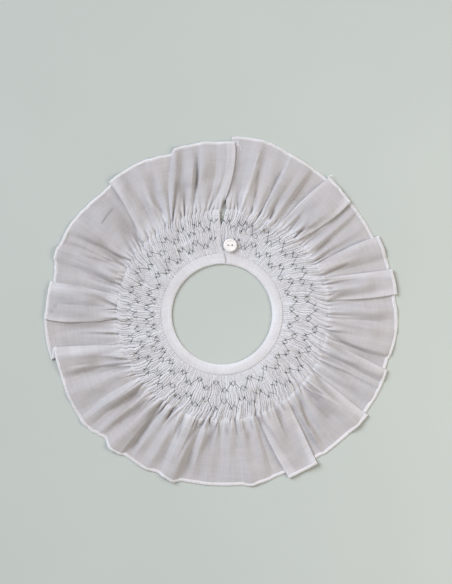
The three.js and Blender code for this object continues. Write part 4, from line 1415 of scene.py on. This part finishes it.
SHELL_STOPS = ((0.3, "#DEDCD9"), (0.5, "#E7E6E3"), (0.7, "#F1F0EE"))
SHELL_FINISH = {"Roughness": 0.22, "IOR": 1.55, "Coat Weight": 0.3, "Coat Roughness": 0.1}


def shell_material():
    """Mother-of-pearl: creamy white and glossy, with soft bands of growth and a faint play of colour."""
    material, tree = new_material("mother_of_pearl_turned_polished")
    where = add_node(tree, "ShaderNodeTexCoord").outputs["Object"]
    growth = add_node(tree, "ShaderNodeMapping", {"Vector": where, "Scale": SHELL_GROWTH})
    ramp = add_node(tree, "ShaderNodeValToRGB", {"Fac": noise(tree, growth, scale=1.0, detail=3.0)})
    stops = ramp.color_ramp.elements
    stops.new(SHELL_STOPS[1][0])
    for stop, (position, colour) in zip(stops, SHELL_STOPS):
        stop.position = position
        stop.color = linear(colour)
    return finished(material, "ShaderNodeBsdfPrincipled", {"Base Color": ramp, **SHELL_FINISH})


SHELL = shell_material()
button_centre = place(BUTTON["from_neck"], BUTTON["angle"], BUTTON["base"])


def near_axis(centre, radius, turn, height):
    """A point beside the button's axis, from millimetres and radians."""
    return centre + np.array([radius * math.cos(turn), radius * math.sin(turn), height]) * MM


def turned(name, centre, section, sides):
    """A closed round mesh from its section, which starts and ends on the axis."""
    turns = np.linspace(0, 2 * np.pi, sides, endpoint=False)
    vertices = [near_axis(centre, row["radius"], t, row["height"]) for row in section[1:-1] for t in turns]
    vertices += [near_axis(centre, 0, 0, section[i]["height"]) for i in (0, -1)]
    index = np.arange((len(section) - 2) * sides).reshape(-1, sides)
    after = np.roll(index, -1, axis=1)
    faces = list(ring_faces(index))
    faces += [(b, a, index.size) for a, b in zip(index[0], after[0])]
    faces += [(a, b, index.size + 1) for a, b in zip(index[-1], after[-1])]
    return new_mesh(name, vertices, faces, SHELL)


blank = add_object("button_blank", turned("button_blank", button_centre, BUTTON_SECTION, BUTTON_SIDES))
drill_section = table(
    ["radius", "height"],
    [(0, HOLE["low"]), (HOLE["radius"], HOLE["low"]), (HOLE["radius"], HOLE["high"]), (0, HOLE["high"])],
)
hole_centres = [button_centre + np.array([side * HOLE["apart"] / 2, 0, 0]) * MM for side in (-1, 1)]
drills = [add_object("drill", turned("drill", centre, drill_section, HOLE_SIDES)) for centre in hole_centres]
for drill in drills:
    cut = blank.modifiers.new("hole", "BOOLEAN")
    cut.object = drill
    cut.operation = "DIFFERENCE"
    cut.solver = "EXACT"
button_mesh = modified_mesh(blank)
button_mesh.name = "shell_button"
button_mesh.set_sharp_from_angle(angle=math.radians(SHARP_ANGLE))
for drill in drills:
    bpy.data.objects.remove(drill)
button = add_piece("shell_button", button_mesh)
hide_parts("button")

# The thread that holds the button: two strands from hole to hole, and a wound shank under it.
button_top = BUTTON_SECTION[-1]["height"]
left_hole, right_hole = hole_centres
strand_lines = [
    [
        between(left_hole, right_hole, row["share"]) + np.array([0, aside, button_top + row["rise"]]) * MM
        for row in BUTTON_STRAND
    ]
    for aside in BUTTON_THREAD["asides"]
]
shank_turns = np.linspace(0, 2 * np.pi * SHANK["turns"], SHANK["points"])
shank_heights = np.linspace(SHANK["below"], SHANK["above"], SHANK["points"])
shank = [near_axis(button_centre, SHANK["radius"], t, h) for t, h in zip(shank_turns, shank_heights)]
strand_lines.append(shank)
threads("button_thread", strand_lines, BUTTON_THREAD["radius"], WHITE_THREAD)

# Floor, light and camera: a plain pale floor of painted board, soft studio light from the upper left with a
# little from the right, and the camera straight above, framed as in the photograph.
FLOOR = {"size": 12.0, "colours": ("#B3BAB4", "#BBC2BC"), "mottle": 6.0, "matt": 0.9}
CAMERA_HEIGHT = 1.6
VIEW_HEIGHT = 0.5005
SENSOR = 36.0
VIEW_OFFSET = (3.43, 19.1)
LIGHTS = table(
    ["name", "azimuth", "elevation", "distance", "size", "power", "colour"],
    [("key", 145, 38, 6.0, 3.9, 392, "#F1F4FF"), ("fill", 350, 36, 1.1, 0.6, 5.6, "#FFF3E6")],
)
ROOM = {"colour": "#F1EFED", "strength": 0.43}


def floor_material():
    """Matt paint, very slightly mottled."""
    material, tree = new_material("painted_board_floor_matt")
    where = add_node(tree, "ShaderNodeTexCoord").outputs["Object"]
    paint = mixed(tree, noise(tree, where, FLOOR["mottle"], detail=4.0), *FLOOR["colours"])
    return finished(material, "ShaderNodeBsdfPrincipled", {"Base Color": paint, "Roughness": FLOOR["matt"]})


corners = [(x * FLOOR["size"] / 2, y * FLOOR["size"] / 2, 0) for x, y in ((-1, -1), (1, -1), (1, 1), (-1, 1))]
floor = add_object("floor", new_mesh("floor", corners, [(0, 1, 2, 3)], floor_material()))
floor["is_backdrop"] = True

camera_data = bpy.data.cameras.new("camera")
camera_data.sensor_width = SENSOR
camera_data.lens = SENSOR * CAMERA_HEIGHT / VIEW_HEIGHT
camera = add_object("camera", camera_data)
camera.location = (NECK_X + VIEW_OFFSET[0] * MM, NECK_Y + VIEW_OFFSET[1] * MM, CAMERA_HEIGHT)
bpy.context.scene.camera = camera

# Each light is a soft round one that points at the middle of the collar.
for row in LIGHTS:
    light = bpy.data.lights.new(row["name"], "AREA")
    light.shape = "DISK"
    light.size = row["size"]
    light.energy = row["power"]
    light.color = linear(row["colour"])[:3]
    lamp = add_object(row["name"], light)
    turn = math.radians(row["azimuth"])
    rise = math.radians(row["elevation"])
    level = row["distance"] * math.cos(rise)
    lamp.location = (level * math.cos(turn), level * math.sin(turn), row["distance"] * math.sin(rise))
    lamp.rotation_euler = (math.pi / 2 - rise, 0, turn + math.pi / 2)

world = bpy.data.worlds.new("studio")
world.use_nodes = True
background = world.node_tree.nodes["Background"]
background.inputs["Color"].default_value = linear(ROOM["colour"])
background.inputs["Strength"].default_value = ROOM["strength"]
bpy.context.scene.world = world
bpy.context.scene.view_settings.view_transform = "Standard"

size = {"cad": [list(corner) for corner in cad_bounds], "visual": [list(corner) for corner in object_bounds()]}
